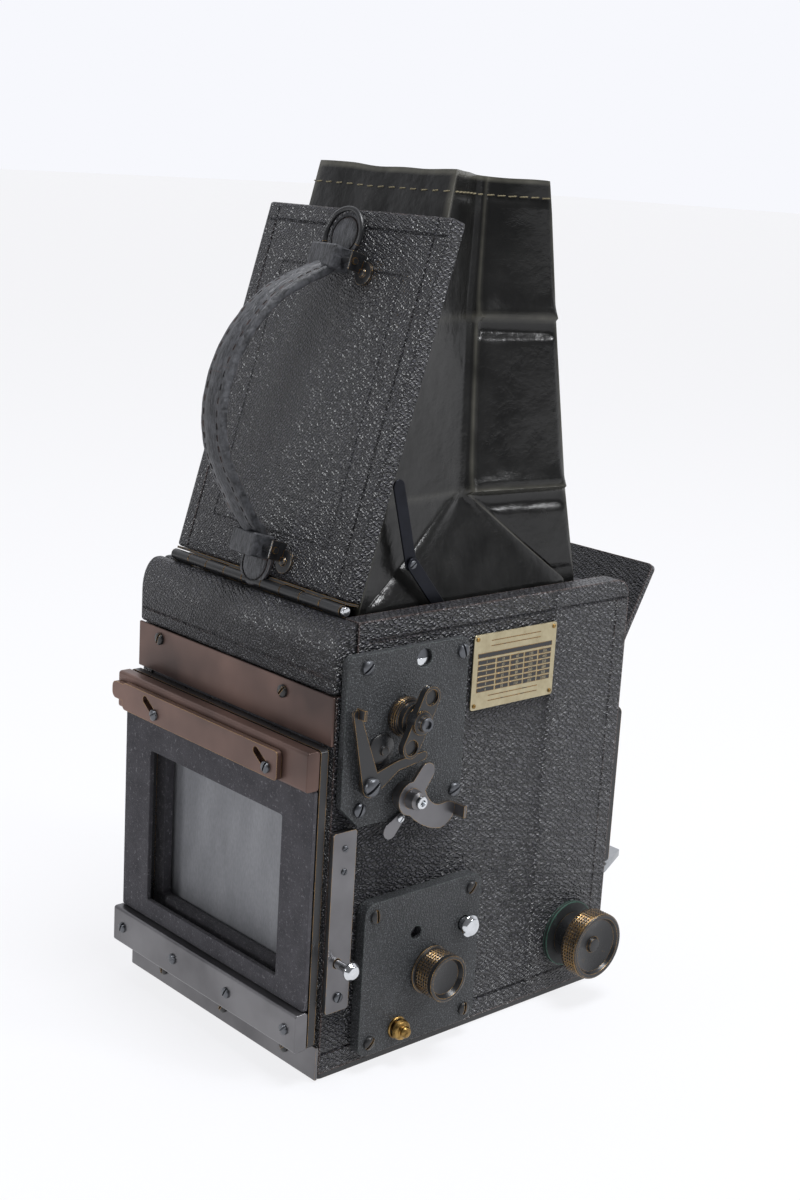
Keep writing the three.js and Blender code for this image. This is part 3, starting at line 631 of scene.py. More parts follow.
def rework(node, name, edge, segments=2):
    """A copy of a CAD node with its facets joined and its edges rounded."""
    piece = bpy.data.objects.new(name, frame["nodes"][node].data.copy())
    bpy.context.scene.collection.objects.link(piece)
    piece.data.materials.clear()
    take(piece)
    bpy.ops.object.mode_set(mode="EDIT")
    bpy.ops.mesh.select_all(action="SELECT")
    bpy.ops.mesh.remove_doubles(threshold=2e-6)
    bpy.ops.mesh.dissolve_limited(angle_limit=math.radians(0.6))
    bpy.ops.object.mode_set(mode="OBJECT")
    if edge:
        soften(piece, edge, segments)
    return piece


def turn(name, profile, centre, sides=40, axis="X"):
    """A piece turned on a line along X or Y: the profile lists (place, radius) from one end to the other."""
    along_x = axis == "X"
    (place, radius), *rest = profile
    middle = lambda at: Vector((at, *centre)) if along_x else Vector((centre[0], at, centre[1]))
    bpy.ops.object.select_all(action="DESELECT")
    bpy.ops.mesh.primitive_circle_add(vertices=sides, radius=radius, fill_type="NGON", location=middle(place),
                                      rotation=(0, math.pi / 2, 0) if along_x else (math.pi / 2, 0, 0))
    piece = settle(named(name))
    bpy.ops.object.mode_set(mode="EDIT")
    bpy.ops.mesh.select_all(action="SELECT")
    for next_place, next_radius in rest:
        step = middle(next_place) - middle(place)
        bpy.ops.mesh.extrude_region_move(TRANSFORM_OT_translate={"value": step})
        k = next_radius / radius
        bpy.ops.transform.resize(value=(1, k, k) if along_x else (k, 1, k),
                                 center_override=middle(next_place))
        place, radius = next_place, next_radius
    bpy.ops.mesh.select_all(action="SELECT")
    bpy.ops.mesh.normals_make_consistent(inside=False)
    bpy.ops.object.mode_set(mode="OBJECT")
    return piece


def knurl(piece, low, high, height):
    """Raises a small point on each side face between two places along X."""
    def on_band(centre, normal):
        return low < centre.x < high and abs(normal.x) < 0.1
    return work(piece, on_band, (bpy.ops.mesh.poke, {"offset": height}))


def skin(name, points, faces):
    """A mesh piece from points and faces."""
    mesh = bpy.data.meshes.new(name)
    mesh.from_pydata([tuple(point) for point in points], [], faces)
    mesh.update()
    piece = bpy.data.objects.new(name, mesh)
    bpy.context.scene.collection.objects.link(piece)
    return piece


def smooth_path(stations, steps):
    """A smooth path through stations."""
    stations = [Vector(s) for s in stations]
    ends = [2 * stations[0] - stations[1], *stations, 2 * stations[-1] - stations[-2]]
    path = []
    for a, b, c, d in zip(ends, ends[1:], ends[2:], ends[3:]):
        for i in range(steps):
            t = i / steps
            path.append(0.5 * ((2 * b) + (c - a) * t + (2 * a - 5 * b + 4 * c - d) * t * t
                               + (3 * b - a - 3 * c + d) * t ** 3))
    return path + [stations[-1]]


def sweep(name, path, section, across):
    """A closed section, as (across, outward) pairs, carried along a path."""
    across = Vector(across)
    points, count = [], len(section)
    for i, point in enumerate(path):
        along = (path[min(i + 1, len(path) - 1)] - path[max(i - 1, 0)]).normalized()
        outward = across.cross(along)
        points += [point + across * u + outward * v for u, v in section]
    faces = [(i * count + j, i * count + (j + 1) % count, (i + 1) * count + (j + 1) % count,
              (i + 1) * count + j)
             for i in range(len(path) - 1) for j in range(count)]
    faces += [tuple(reversed(range(count))), tuple(range(len(points) - count, len(points)))]
    piece = skin(name, points, faces)
    work(piece, lambda c, n: True, (bpy.ops.mesh.normals_make_consistent, {"inside": False}))
    return piece


# ---- small parts that repeat --------------------------------------------------------------
def make_slotted_screw(name, dome=0.25):
    """A screw head of 1 mm radius with a slot, facing up, made to be copied."""
    head = rod(name, 1 * MM, (0, 0, -0.3 * MM), (0, 0, 0.35 * MM), 24)
    work(head, lambda c, n: n.z > 0.9,
         (bpy.ops.mesh.inset, {"thickness": 0.3 * MM, "depth": dome * 0.6 * MM}),
         (bpy.ops.mesh.inset, {"thickness": 0.35 * MM, "depth": dome * 0.3 * MM}))
    carve(head, block("slot", (-1.2 * MM, -0.16 * MM, 0.16 * MM), (1.2 * MM, 0.16 * MM, 1.2 * MM)))
    return soften(head, 0.05 * MM, 1)


def make_stitch(name, length):
    """One stitch lying along X, made to be copied."""
    stitch = rod(name, 0.34 * MM, (-length / 2, 0, 0), (length / 2, 0, 0), 6)
    work(stitch, lambda c, n: abs(n.x) > 0.9,
         (bpy.ops.mesh.inset, {"thickness": 0.15 * MM, "depth": 0.25 * MM}))
    return shade(stitch, 60)


def screws(name, places, finish, body, slot):
    """A set of slotted screws, one per (point, outward, radius in mm, turn) place, as one piece."""
    template = make_slotted_screw(name + "_template")
    heads = [copy_of(template, name, facing(point, outward, turned, size)) for point, outward, size,
             turned in places]
    bpy.data.objects.remove(template)
    return fit(coat(merge(name, heads), finish), body, slot)


def at(x, y, z):
    """A point given in millimetres."""
    return Vector((x, y, z)) * MM


def on_lid(x, out, up):
    """A point on the lid, in millimetres along the hinge, out of the lid and up it."""
    return IN_LID @ at(x, out, up)


# ---- the parts of the camera --------------------------------------------------------------
class CameraSizes(bpy.types.PropertyGroup):
    """Sizes of the surface detail."""
    leather_edge: FloatProperty(name="Leather edge",
                                description="Rounding where leather is drawn over an edge", default=2.4 * MM,
                                unit="LENGTH", precision=5)
    pebble: FloatProperty(name="Pebble", description="Size of one grain in the pebbled leather",
                          default=1.6 * MM, unit="LENGTH", precision=5)
    stitch: FloatProperty(name="Stitch", description="Length of one stitch in the hood's hem",
                          default=3.4 * MM, unit="LENGTH", precision=5)
    hood_thickness: FloatProperty(name="Hood leather", description="Thickness of the hood's leather",
                                  default=1.1 * MM, unit="LENGTH", precision=5)
    knurls: IntProperty(name="Knurls", description="Points round the rim of a knurled knob", default=60,
                        min=24, max=90)


class CameraColours(bpy.types.PropertyGroup):
    """Colours of the studio."""
    light: FloatVectorProperty(name="Light", description="Colour of the studio lights", subtype="COLOR",
                               size=3, default=linear(0xfcfdff)[:3])
    sky: FloatVectorProperty(name="Surround", description="Colour of the light all round", subtype="COLOR",
                             size=3, default=linear(0xf7f8fd)[:3])


class PRESSCAMERA_OT_finishes(bpy.types.Operator):
    """Make every material of the camera and the studio"""
    bl_idname = "presscamera.finishes"
    bl_label = "Finishes"

    def execute(self, context):
        make_leathers(context.scene.press_camera_sizes.pebble)
        for make in (make_enamels, make_metals, make_cloths, make_plain_finishes):
            make()
        return {"FINISHED"}


class PRESSCAMERA_OT_studio(bpy.types.Operator):
    """Lay a pale sweep of paper under soft lights, and set the camera"""
    bl_idname = "presscamera.studio"
    bl_label = "Studio"

    def execute(self, context):
        colours = context.scene.press_camera_colours
        bpy.ops.object.select_all(action="DESELECT")
        bpy.ops.mesh.primitive_plane_add(size=40, location=(0, 0, -0.4 * MM))
        paper = settle(named("studio_sweep"))
        work(paper, lambda c, n: True, (bpy.ops.mesh.subdivide, {"number_cuts": 5}))
        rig.stage(coat(paper, "studio_paper"))

        world = bpy.data.worlds.new("soft_surround")
        context.scene.world = world
        world.use_nodes = True
        tree = world.node_tree
        sky = tree.nodes["Background"]
        sky.inputs[0].default_value = (*colours.sky, 1)
        # The white sweep stands on the lens side of the camera; the room behind the film back is dimmer
        way = add_node(tree, "TexCoord")
        ahead = add_node(tree, "VectorMath", {"operation": "DOT_PRODUCT", 1: SWEEP_WAY},
                         {0: (way, "Generated")})
        glow = add_node(tree, "MapRange", {"interpolation_type": "SMOOTHSTEP", 1: -0.1, 2: 0.5, 3: 0.2,
                                           4: 1.0}, {0: (ahead, "Value")})
        tree.links.new(glow.outputs[0], sky.inputs[1])
        for name, size, power, place, target in (
            ("ceiling_light", 0.8, 38, (-0.5, -0.1, 2.0), (0, 0, 0.2)),
            ("front_light", 0.55, 22, (-1.9, -1.1, 1.5), (0, 0, 0.2)),
            ("rear_light", 0.6, 12, (0.7, 2.2, 0.9), (0, 0, 0.1)),
        ):
            bpy.ops.object.select_all(action="DESELECT")
            aim = (Vector(target) - Vector(place)).to_track_quat("-Z", "Y").to_euler()
            bpy.ops.object.light_add(type="AREA", location=place, rotation=aim)
            lamp = bpy.context.object
            lamp.name = name
            lamp.data.shape = "DISK"
            lamp.data.size = size
            lamp.data.energy = power
            lamp.data.color = colours.light

        turn_round, raise_up, tip = (math.radians(angle)
                                     for angle in (VIEW_AZIMUTH, VIEW_ELEVATION, VIEW_ROLL))
        back = Vector((math.sin(turn_round) * math.cos(raise_up), -math.cos(turn_round) * math.cos(raise_up),
                       math.sin(raise_up)))
        level = Vector((math.cos(turn_round), math.sin(turn_round), 0))
        upright = back.cross(level)
        across = level * math.cos(tip) + upright * math.sin(tip)
        upward = upright * math.cos(tip) - level * math.sin(tip)
        lens = bpy.data.cameras.new("view")
        lens.lens, lens.sensor_width = VIEW_LENS, 36
        lens.clip_start, lens.clip_end = 0.01, 50
        view = bpy.data.objects.new("view", lens)
        view.matrix_world = Matrix((across, upward, back)).transposed().to_4x4()
        view.location = VIEW_PLACE
        context.scene.collection.objects.link(view)
        context.scene.camera = view
        context.scene.view_settings.view_transform = "Standard"
        return {"FINISHED"}


class PRESSCAMERA_OT_case(bpy.types.Operator):
    """Cover the case: side walls, front strip, rear cap and the metal plates round the back"""
    bl_idname = "presscamera.case"
    bl_label = "Case"

    def execute(self, context):
        sizes = context.scene.press_camera_sizes
        low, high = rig.box("case_right_wall")
        face = low.x
        # Cutters run this far past an edge, and the seam of the right wall stands here along Y
        past, seam_y = 10 * MM, -43 * MM
        for node, name, way in (("case_right_wall", "right_wall_covering", -1),
                                ("case_left_wall", "left_wall_covering", 1)):
            wall = rework(node, name, sizes.leather_edge, 3)
            x = way * abs(face)
            middle = x + way * 0.55 * MM
            left, right = low.y - past, high.y + past
            front, foot, rim = low.y + 9 * MM, 13 * MM, high.z - 9.5 * MM
            for start, end in (((left, rim), (76 * MM, rim)), ((front, foot), (front, rim)),
                               ((left, foot), (right, foot))):
                carve(wall, rod("groove", 1.0 * MM, (middle, *start), (middle, *end), 10))
            if way < 0:
                # The covering of the right wall is joined over a strip, which stands out as a low ridge
                core = x - way * 3.0 * MM
                ridge = rod("seam", 3.6 * MM, (core, seam_y, low.z + 2 * MM), (core, seam_y, high.z - 2 * MM),
                            20)
                carve(wall, ridge, operation="UNION")
            fit(coat(shade(wall), "pebbled_leather"), "body", "leather", node)

        cap = rework("rear_cap", "rear_cap_covering", 1.6 * MM, 3)
        low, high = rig.box("rear_cap")
        groove_y, groove_z = high.y + 0.45 * MM, low.z + 7 * MM
        carve(cap, rod("groove", 0.9 * MM, (low.x - past, groove_y, groove_z),
                       (high.x + past, groove_y, groove_z), 10))
        fit(coat(shade(cap), "pebbled_leather"), "body", "leather", "rear_cap")

        strip = rework("front_fascia", "front_strip_covering", 1.4 * MM, 3)
        fit(coat(strip, "pebbled_leather"), "body", "leather", "front_fascia")

        upper = rework("rear_upper_plate", "rear_upper_plate_bronze", 0.5 * MM, 2)
        fit(coat(upper, "patinated_bronze"), "body", "bronze", "rear_upper_plate")
        low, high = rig.box("rear_upper_plate")
        lower = block("rear_lower_plate", (low.x, low.y, 0.6 * MM), (high.x, high.y, 17 * MM))
        fit(coat(soften(lower, 0.5 * MM), "blackened_brass"), "body", "black_enamel")
        y = high.y
        screws("rear_plate_screws", [(Vector((x * MM, y, z * MM)), REAR, 3.0, turned) for x, z, turned in
                                     ((57.1, 178.4, 1.2), (-39.9, 177.6, 0.9), (46, 8.6, 1.4),
                                      (-52, 8.6, 0.7), (-4, 8.6, 1.0))],
               "worn_black_enamel", "body", "black_enamel")
        return {"FINISHED"}


class PRESSCAMERA_OT_lid(bpy.types.Operator):
    """Cover the lid and make its piano hinge"""
    bl_idname = "presscamera.lid"
    bl_label = "Lid"

    def execute(self, context):
        sizes = context.scene.press_camera_sizes
        board = rework("lid_board", "lid_covering", sizes.leather_edge, 3)
        # Pressed lines in the leather, in mm on the lid's face: deep by its edges, faint round an inner panel
        half, base, top = 64.6, 4.3, 176.8
        side, head = half - 8.5, top - 8.5
        inner, inner_base, inner_top = half - 22, base + 20, top - 28
        deep = (((-side, base), (-side, top + 1)), ((side, base), (side, top + 1)),
                ((-half - 1, head), (half + 1, head)))
        faint = (((-inner, inner_base), (-inner, inner_top)), ((inner, inner_base), (inner, inner_top)),
                 ((-inner, inner_top), (inner, inner_top)), ((-inner, inner_base), (inner, inner_base)))
        for lines, height in ((deep, 0.5), (faint, 0.72)):
            for (x0, up0), (x1, up1) in lines:
                carve(board, rod("groove", 0.95 * MM, on_lid(x0, height, up0), on_lid(x1, height, up1), 10))
        fit(coat(shade(board), "pebbled_leather"), "lid", "leather", "lid_board")
        for node, name, body in (("lid_hinge_leaf", "lid_hinge_strip", "lid"),
                                 ("case_hinge_leaf", "case_hinge_strip", "body"),
                                 ("hinge_pin", "hinge_wire", "body")):
            fit(coat(rework(node, name, 0.25 * MM), "worn_black_enamel" if node != "hinge_pin"
                     else "bright_nickel"), body, "nickel", node)
        return {"FINISHED"}


class PRESSCAMERA_OT_handle(bpy.types.Operator):
    """Stitch the strap handle and fix its ends to the lid"""
    bl_idname = "presscamera.handle"
    bl_label = "Handle"

    # The strap's middle line as heights out of the lid and up it, and half its section: raised in the
    # middle, flat at the stitches and rounded at the edges. All in mm
    stations = ((8.5, 14), (8.5, 22), (15.6, 27), (27, 37.5), (38, 48.6), (45.5, 61), (49.6, 77),
                (49, 95), (43, 113), (34, 127), (22, 138), (12, 145.5), (8.5, 152), (8.5, 156))
    half_section = ((0, 3.3), (1.4, 3.2), (2.6, 2.6), (3.4, 2.0), (4.9, 1.8), (6.4, 1.8),
                    (7.0, 1.4), (7.3, 0.4), (7.3, -1.6), (6.9, -2.6), (5, -3.1), (0, -3.2))
    stitch_rows = (-4.9, 4.9)

    def execute(self, context):
        path = [on_lid(0, p.x, p.y) for p in smooth_path([(out, up, 0) for out, up in self.stations], 6)]
        half = self.half_section
        section = [(u * MM, v * MM) for u, v in half] + [(-u * MM, v * MM) for u, v in reversed(half[1:-1])]
        template = make_stitch("stitch_template", 2.4 * MM)
        # Each half of the strap is still in its keeper and twists between there and the swinging middle
        middle = len(path) // 2
        for end, part, sewn, before_to, after_from in (
            ("lower", path[:middle + 2], path[8:middle + 1], ("lid", 23), ("handle", 46)),
            ("upper", path[middle:], path[middle:-6], ("handle", 121), ("lid", 145)),
        ):
            strap = sweep("handle_leather_" + end, part, section, (-1, 0, 0))
            for vertex in strap.data.vertices:
                vertex.co += vertex.normal * 0.35 * MM * noise.noise(vertex.co * 160)
            shade(strap, 50)
            coat(strap, "strap_leather")
            thread = coat(merge("handle_stitches", self.sew(template, sewn)), "black_thread")
            half_strap = merge("handle_leather_" + end, [strap, thread])
            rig.blend(half_strap, before_to[0], after_from[0], start=on_lid(0, 8.5, before_to[1]), end=on_lid(0, 8.5, after_from[1]))
            fit(half_strap, "handle", "leather", "handle_strap")

        # Keeper loops, round stitched tabs, the ring at the top and the end fittings
        for name, up, low, tab in (("upper", 151.4, "handle_bracket_upper", 163.6),
                                   ("lower", 16.5, "handle_bracket_lower", 8.6)):
            keeper = block("keeper", (-8.4 * MM, 1.4 * MM, (up - 5.5) * MM),
                           (8.4 * MM, 13.4 * MM, (up + 5.5) * MM))
            work(keeper, lambda c, n: n.y > 0.9,
                 (bpy.ops.mesh.inset, {"thickness": 1.2 * MM, "depth": 0.5 * MM}))
            soften(keeper, 1.0 * MM, 3)
            disc = turn("tab", [(0.2 * MM, 10.6 * MM), (1.9 * MM, 10.8 * MM), (2.4 * MM, 10.0 * MM),
                                (2.2 * MM, 8.4 * MM), (3.0 * MM, 7.4 * MM),
                                (3.3 * MM, 4 * MM), (3.3 * MM, 0.3 * MM)], (0.6 * MM, tab * MM), 36, "Y")
            shade(disc, 50)
            ring_stitches = []
            for i in range(18):
                angle = i / 18 * 2 * math.pi
                spot = at(0.6 + 8.6 * math.cos(angle), 2.5, tab + 8.6 * math.sin(angle))
                place = Matrix.Translation(spot) @ Matrix.Rotation(-angle + math.pi / 2, 4, "Y")
                ring_stitches.append(copy_of(template, "tab_stitch", place))
            soft = coat(merge("handle_end_" + name, [keeper, disc]), "strap_leather")
            soft = merge("handle_end_" + name,
                         [soft, coat(merge("tab_stitches", ring_stitches), "black_thread")])
            soft.data.transform(IN_LID)
            fit(soft, "lid", "leather")

            bar = rod("bar", 1.5 * MM, (-17 * MM, 6.5 * MM, up * MM), (9.6 * MM, 6.5 * MM, up * MM), 16)
            lug = block("lug", (-16.2 * MM, 0.3 * MM, (up - 4.5) * MM), (-14.4 * MM, 9 * MM, (up + 4.5) * MM))
            other = block("lug", (8.9 * MM, 0.3 * MM, (up - 4) * MM), (10.3 * MM, 8.6 * MM, (up + 4) * MM))
            foot = turn("foot", [(0.1 * MM, 5.6 * MM), (1.1 * MM, 5.4 * MM), (1.3 * MM, 5 * MM),
                                 (1.3 * MM, 2.2 * MM), (2.2 * MM, 1.8 * MM), (2.5 * MM, 0.2 * MM)],
                        (-17.5 * MM, (up - 4) * MM), 24, "Y")
            for piece in (lug, other):
                soften(piece, 0.7 * MM, 2)
            metal = [bar, lug, other, shade(foot)]
            if name == "upper":
                metal.append(self.ring(tab))
            fitting = merge("handle_fitting_" + name, metal)
            fitting.data.transform(IN_LID)
            fit(coat(fitting, "worn_black_enamel"), "lid", "black_enamel", low)
        bpy.data.objects.remove(template)
        return {"FINISHED"}

    def sew(self, template, path):
        """Two rows of stitches along a stretch of the strap, 3.7 mm apart or a little more."""
        across = Vector((-1, 0, 0))
        stitches, run = [], 0.0
        for before, after in zip(path, path[1:]):
            run += (after - before).length
            if run < 3.7 * MM:
                continue
            run = 0.0
            along = (after - before).normalized()
            outward = across.cross(along)
            axes = Matrix((along, across, outward)).transposed().to_4x4()
            for row in self.stitch_rows:
                place = Matrix.Translation(after + Vector((row * MM, 0, 0)) + outward * 1.75 * MM)
                stitches.append(copy_of(template, "stitch", place @ axes))
        return stitches

    def ring(self, up):
        """The wire ring round the top of the upper tab, open where the keeper sits."""
        path = []
        for i in range(29):
            angle = math.radians(-20 + 220 * i / 28)
            path.append(Vector(((0.6 + 12.2 * math.cos(angle)) * MM, 3.2 * MM,
                                (up + 12.2 * math.sin(angle)) * MM)))
        section = [(1.3 * MM * math.cos(a), 1.3 * MM * math.sin(a))
                   for a in (i * math.pi / 5 for i in range(10))]
        return shade(sweep("ring", path, section, (0, 1, 0)), 60)


class PRESSCAMERA_OT_hood(bpy.types.Operator):
    """Fold and stitch the leather viewing hood"""
    bl_idname = "presscamera.hood"
    bl_label = "Viewing hood"

    # Height, half-widths at the front, the side fold and the back, and places along Y of the same
    levels = ((203, (61.2, 61.2, 61.2), (-69, 2, 71)), (216, (61, 60, 60.6), (-68.5, 2, 70.2)),
              (262, (58, 48, 57), (-60, 1, 56.5)),
              (342, (53, 37.7, 52), (-50, -6, 32.8)), (407.8, (52, 31.2, 47.8), (-40, -13.4, 15.6)))
    creases = (342, 262)

    def level(self, z):
        """The half-widths and places along Y at a height."""
        for (z0, w0, y0), (z1, w1, y1) in zip(self.levels, self.levels[1:]):
            if z <= z1:
                t = (z - z0) / (z1 - z0)
                return [a + (b - a) * t for a, b in zip(w0, w1)], [a + (b - a) * t for a, b in zip(y0, y1)]
        return list(self.levels[-1][1]), list(self.levels[-1][2])

    def side(self, z, share):
        """A point on the side panel, from the back (0) to the front (1): half-width and place along Y."""
        (wf, wm, wb), (yf, ym, yb) = self.level(z)
        if z < 262:
            # Below the lower crease the single valley parts into two that run down to the corners
            t = min((262 - z) / 46, 1) ** 0.9
            valley_back, valley_front = ym + (yb - 5 - ym) * t, ym + (yf + 7 - ym) * t
            knots = [(0, wb, yb), (0.3, wm, valley_back), (0.42, wm, valley_front), (1, wf, yf)]
        else:
            knots = [(0, wb, yb), (0.3, wm + 1.2, ym + 1.6), (0.42, wm + 1.4, ym - 2.6), (1, wf, yf)]
        for (s0, w0, y0), (s1, w1, y1) in zip(knots, knots[1:]):
            if share <= s1:
                t = (share - s0) / (s1 - s0)
                return w0 + (w1 - w0) * t, y0 + (y1 - y0) * t
        return wf, yf

    def raise_by(self, z, share):
        """How far the side panel stands out, in mm: stiff boards with rolled lower edges, creases between."""
        lift = 0.0
        on_board = min(max((share - 0.455) / 0.02, 0), 1) * min(max((0.975 - share) / 0.015, 0), 1)
        in_front = min(max((share - 0.4) / 0.05, 0), 1)
        for crease in self.creases:
            above = z - crease
            if 0 <= above < 40:
                lift += 2.9 * math.exp(-above / 6.5) * in_front
            elif -14 < above < 0:
                lift += 2.9 * math.exp(above / 1.1) * in_front
                lift -= 0.9 * math.exp(-((above + 6) / 3.2) ** 2) * on_board
        bands = ((343, 396), (264, 334), (222, 253))
        for low, high in bands:
            edge = min(max((z - low) / 1.5, 0), 1) * min(max((high - z) / 1.5, 0), 1)
            lift += 1.1 * on_board * edge * (0.55 if low == 222 else 1)
        if z < 262:
            drop = (262 - z) / 46
            for centre in (0.3, 0.42):
                lift += 1.5 * math.exp(-((share - centre) / 0.018) ** 2) * (1 - 0.5 * min(drop, 1))
        # A rolled ridge beside the back fold
        lift += 1.0 * math.exp(-((share - 0.44) / 0.02) ** 2) * (1 if z > 262 else 0)
        return lift

    def rubbed(self, z, share):
        """How pale the leather is painted at a point of the side panel, from 0 to 1: partly rubbed wear, partly a
        painted highlight along the corners, the creases, the ridge beside the back fold and the top edge.
        """
        corner = math.exp(-(share / 0.014) ** 2) + math.exp(-((1 - share) / 0.012) ** 2)
        depth = 0.7 if share > 0.4 else 0.2
        crease = sum(math.exp(-((z - crease) / 1.6) ** 2) for crease in self.creases) * depth
        ridge = 0.6 * math.exp(-((share - 0.44) / 0.01) ** 2)
        return min(corner * 0.9 + crease + ridge + (0.9 if z > 406 else 0), 1)

    def execute(self, context):
        sizes = context.scene.press_camera_sizes
        heights = [203 + i * 204.8 / 128 for i in range(129)]
        sides, ends = 64, 26
        ring_count = 2 * sides + 2 * ends
        points, rub = [], []
        for z in heights:
            (wf, _, wb), (yf, _, yb) = self.level(z)
            row = []
            # The end panels are painted pale at their corners and along the top edge: partly wear, partly a painted
            # highlight
            end_rub_and_highlight = [0.9 if z > 406 else 0.7 * math.exp(-(min(j, ends - j) / 0.6) ** 2)
                       for j in range(ends)]
            down = [self.rubbed(z, j / sides) for j in range(sides)]
            up = [self.rubbed(z, j / sides) for j in range(sides, 0, -1)]
            rub += down + end_rub_and_highlight + up + end_rub_and_highlight
            for way, order in ((-1, range(sides)), (1, range(sides, 0, -1))):
                for j in order:
                    share = j / sides
                    w, y = self.side(z, share)
                    w += self.raise_by(z, share)
                    w += 0.5 * noise.noise(Vector((y * 0.03, z * 0.03, way * 3.0)))
                    row.append(Vector((way * w, y, z)))
                if way < 0:
                    for j in range(ends):
                        t = j / ends
                        bow = 1.5 * math.sin(math.pi * t) * (z - 203) / 205
                        row.append(Vector((-wf + 2 * wf * t, yf + bow, z)))
            for j in range(ends):
                t = j / ends
                row.append(Vector((wb - 2 * wb * t, yb + 0.8 * noise.noise(Vector((t * 4, z * 0.02, 7))) ,
                                   z)))
            if z > 390:
                rise = (z - 390) / 18
                for point in row:
                    point.z += rise * (1.3 * noise.noise(Vector((point.x * 0.04, point.y * 0.04, 2)))
                                       - 3.6 * (yb - point.y) / (yb - yf))
            points += [point * MM for point in row]
        faces = [(i * ring_count + j, i * ring_count + (j + 1) % ring_count, (i + 1) * ring_count
                  + (j + 1) % ring_count, (i + 1) * ring_count + j)
                 for i in range(len(heights) - 1) for j in range(ring_count)]
        hood = skin("viewing_hood_leather", points, faces)
        # The pale folds go into the mesh as an attribute: rubbed wear and painted highlight together
        hood.data.attributes.new("rub", "FLOAT", "POINT").data.foreach_set("value", rub)
        work(hood, lambda c, n: True, (bpy.ops.mesh.normals_make_consistent, {"inside": False}))
        modify(hood, "SMOOTH", factor=0.4, iterations=1)
        modify(hood, "SOLIDIFY", thickness=sizes.hood_thickness, offset=-1.0)
        take(hood)
        bpy.ops.object.shade_smooth_by_angle(angle=math.radians(50))
        coat(hood, "waxed_goatskin")
        hem = self.hem(sizes, points, ring_count, heights)
        hood = merge("viewing_hood_leather", [hood, coat(hem, "linen_thread")])
        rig.squash(hood, "lid_hinge", axis=(0, 0, 1), anchor=(0, 0, 0.2035), keep=0.028)
        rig.ride(hood, "body")
        fit(hood, "body", "hood_leather", "viewing_hood")
        return {"FINISHED"}

    def hem(self, sizes, points, count, heights):
        """The row of stitches round the top band."""
        row = min(range(len(heights)), key=lambda i: abs(heights[i] - 398))
        loop = points[row * count:(row + 1) * count]
        template = make_stitch("hem_template", sizes.stitch)
        stitches, run = [], 0.0
        for before, after in zip(loop, loop[1:] + loop[:1]):
            run += (after - before).length
            if run < sizes.stitch * 1.38:
                continue
            run = 0.0
            along = (after - before).normalized()
            outward = along.cross(Vector((0, 0, 1)))
            if outward.dot(after - Vector((0, -0.012, after.z))) < 0:
                outward.negate()
            up = along.cross(outward).normalized()
            axes = Matrix((along, outward, up)).transposed().to_4x4()
            stitches.append(copy_of(template, "hem_stitch", Matrix.Translation(after + outward * 0.15 * MM)
                                    @ axes @ Matrix.Rotation(0.08, 4, "Y")))
        bpy.data.objects.remove(template)
        return merge("hem_stitches", stitches)


class PRESSCAMERA_OT_stays(bpy.types.Operator):
    """Make the folding stays that hold the lid open"""
    bl_idname = "presscamera.stays"
    bl_label = "Lid stays"

    def execute(self, context):
        for node, body in BODY_OF.items():
            if body.startswith("stay_"):
                link = rework(node, node + "_link", 0.35 * MM)
                fit(coat(link, "blued_steel"), body, "black_enamel", node)
        for side, way in (("right", -1), ("left", 1)):
            low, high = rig.box("stay_upper_" + side)
            x = low.x if way < 0 else high.x
            # The head is sunk 1 mm, so that it clears the wall when the lid closes
            elbow = Vector(JOINT["stay_lower_" + side + "_turn"]["pos_m"])
            head = (Vector((x - way * 1 * MM, elbow.y, elbow.z)), (way, 0, 0), 2.3, 0.6)
            screws("stay_screw_" + side, [head], "dull_steel", "stay_upper_" + side, "black_enamel")
        return {"FINISHED"}


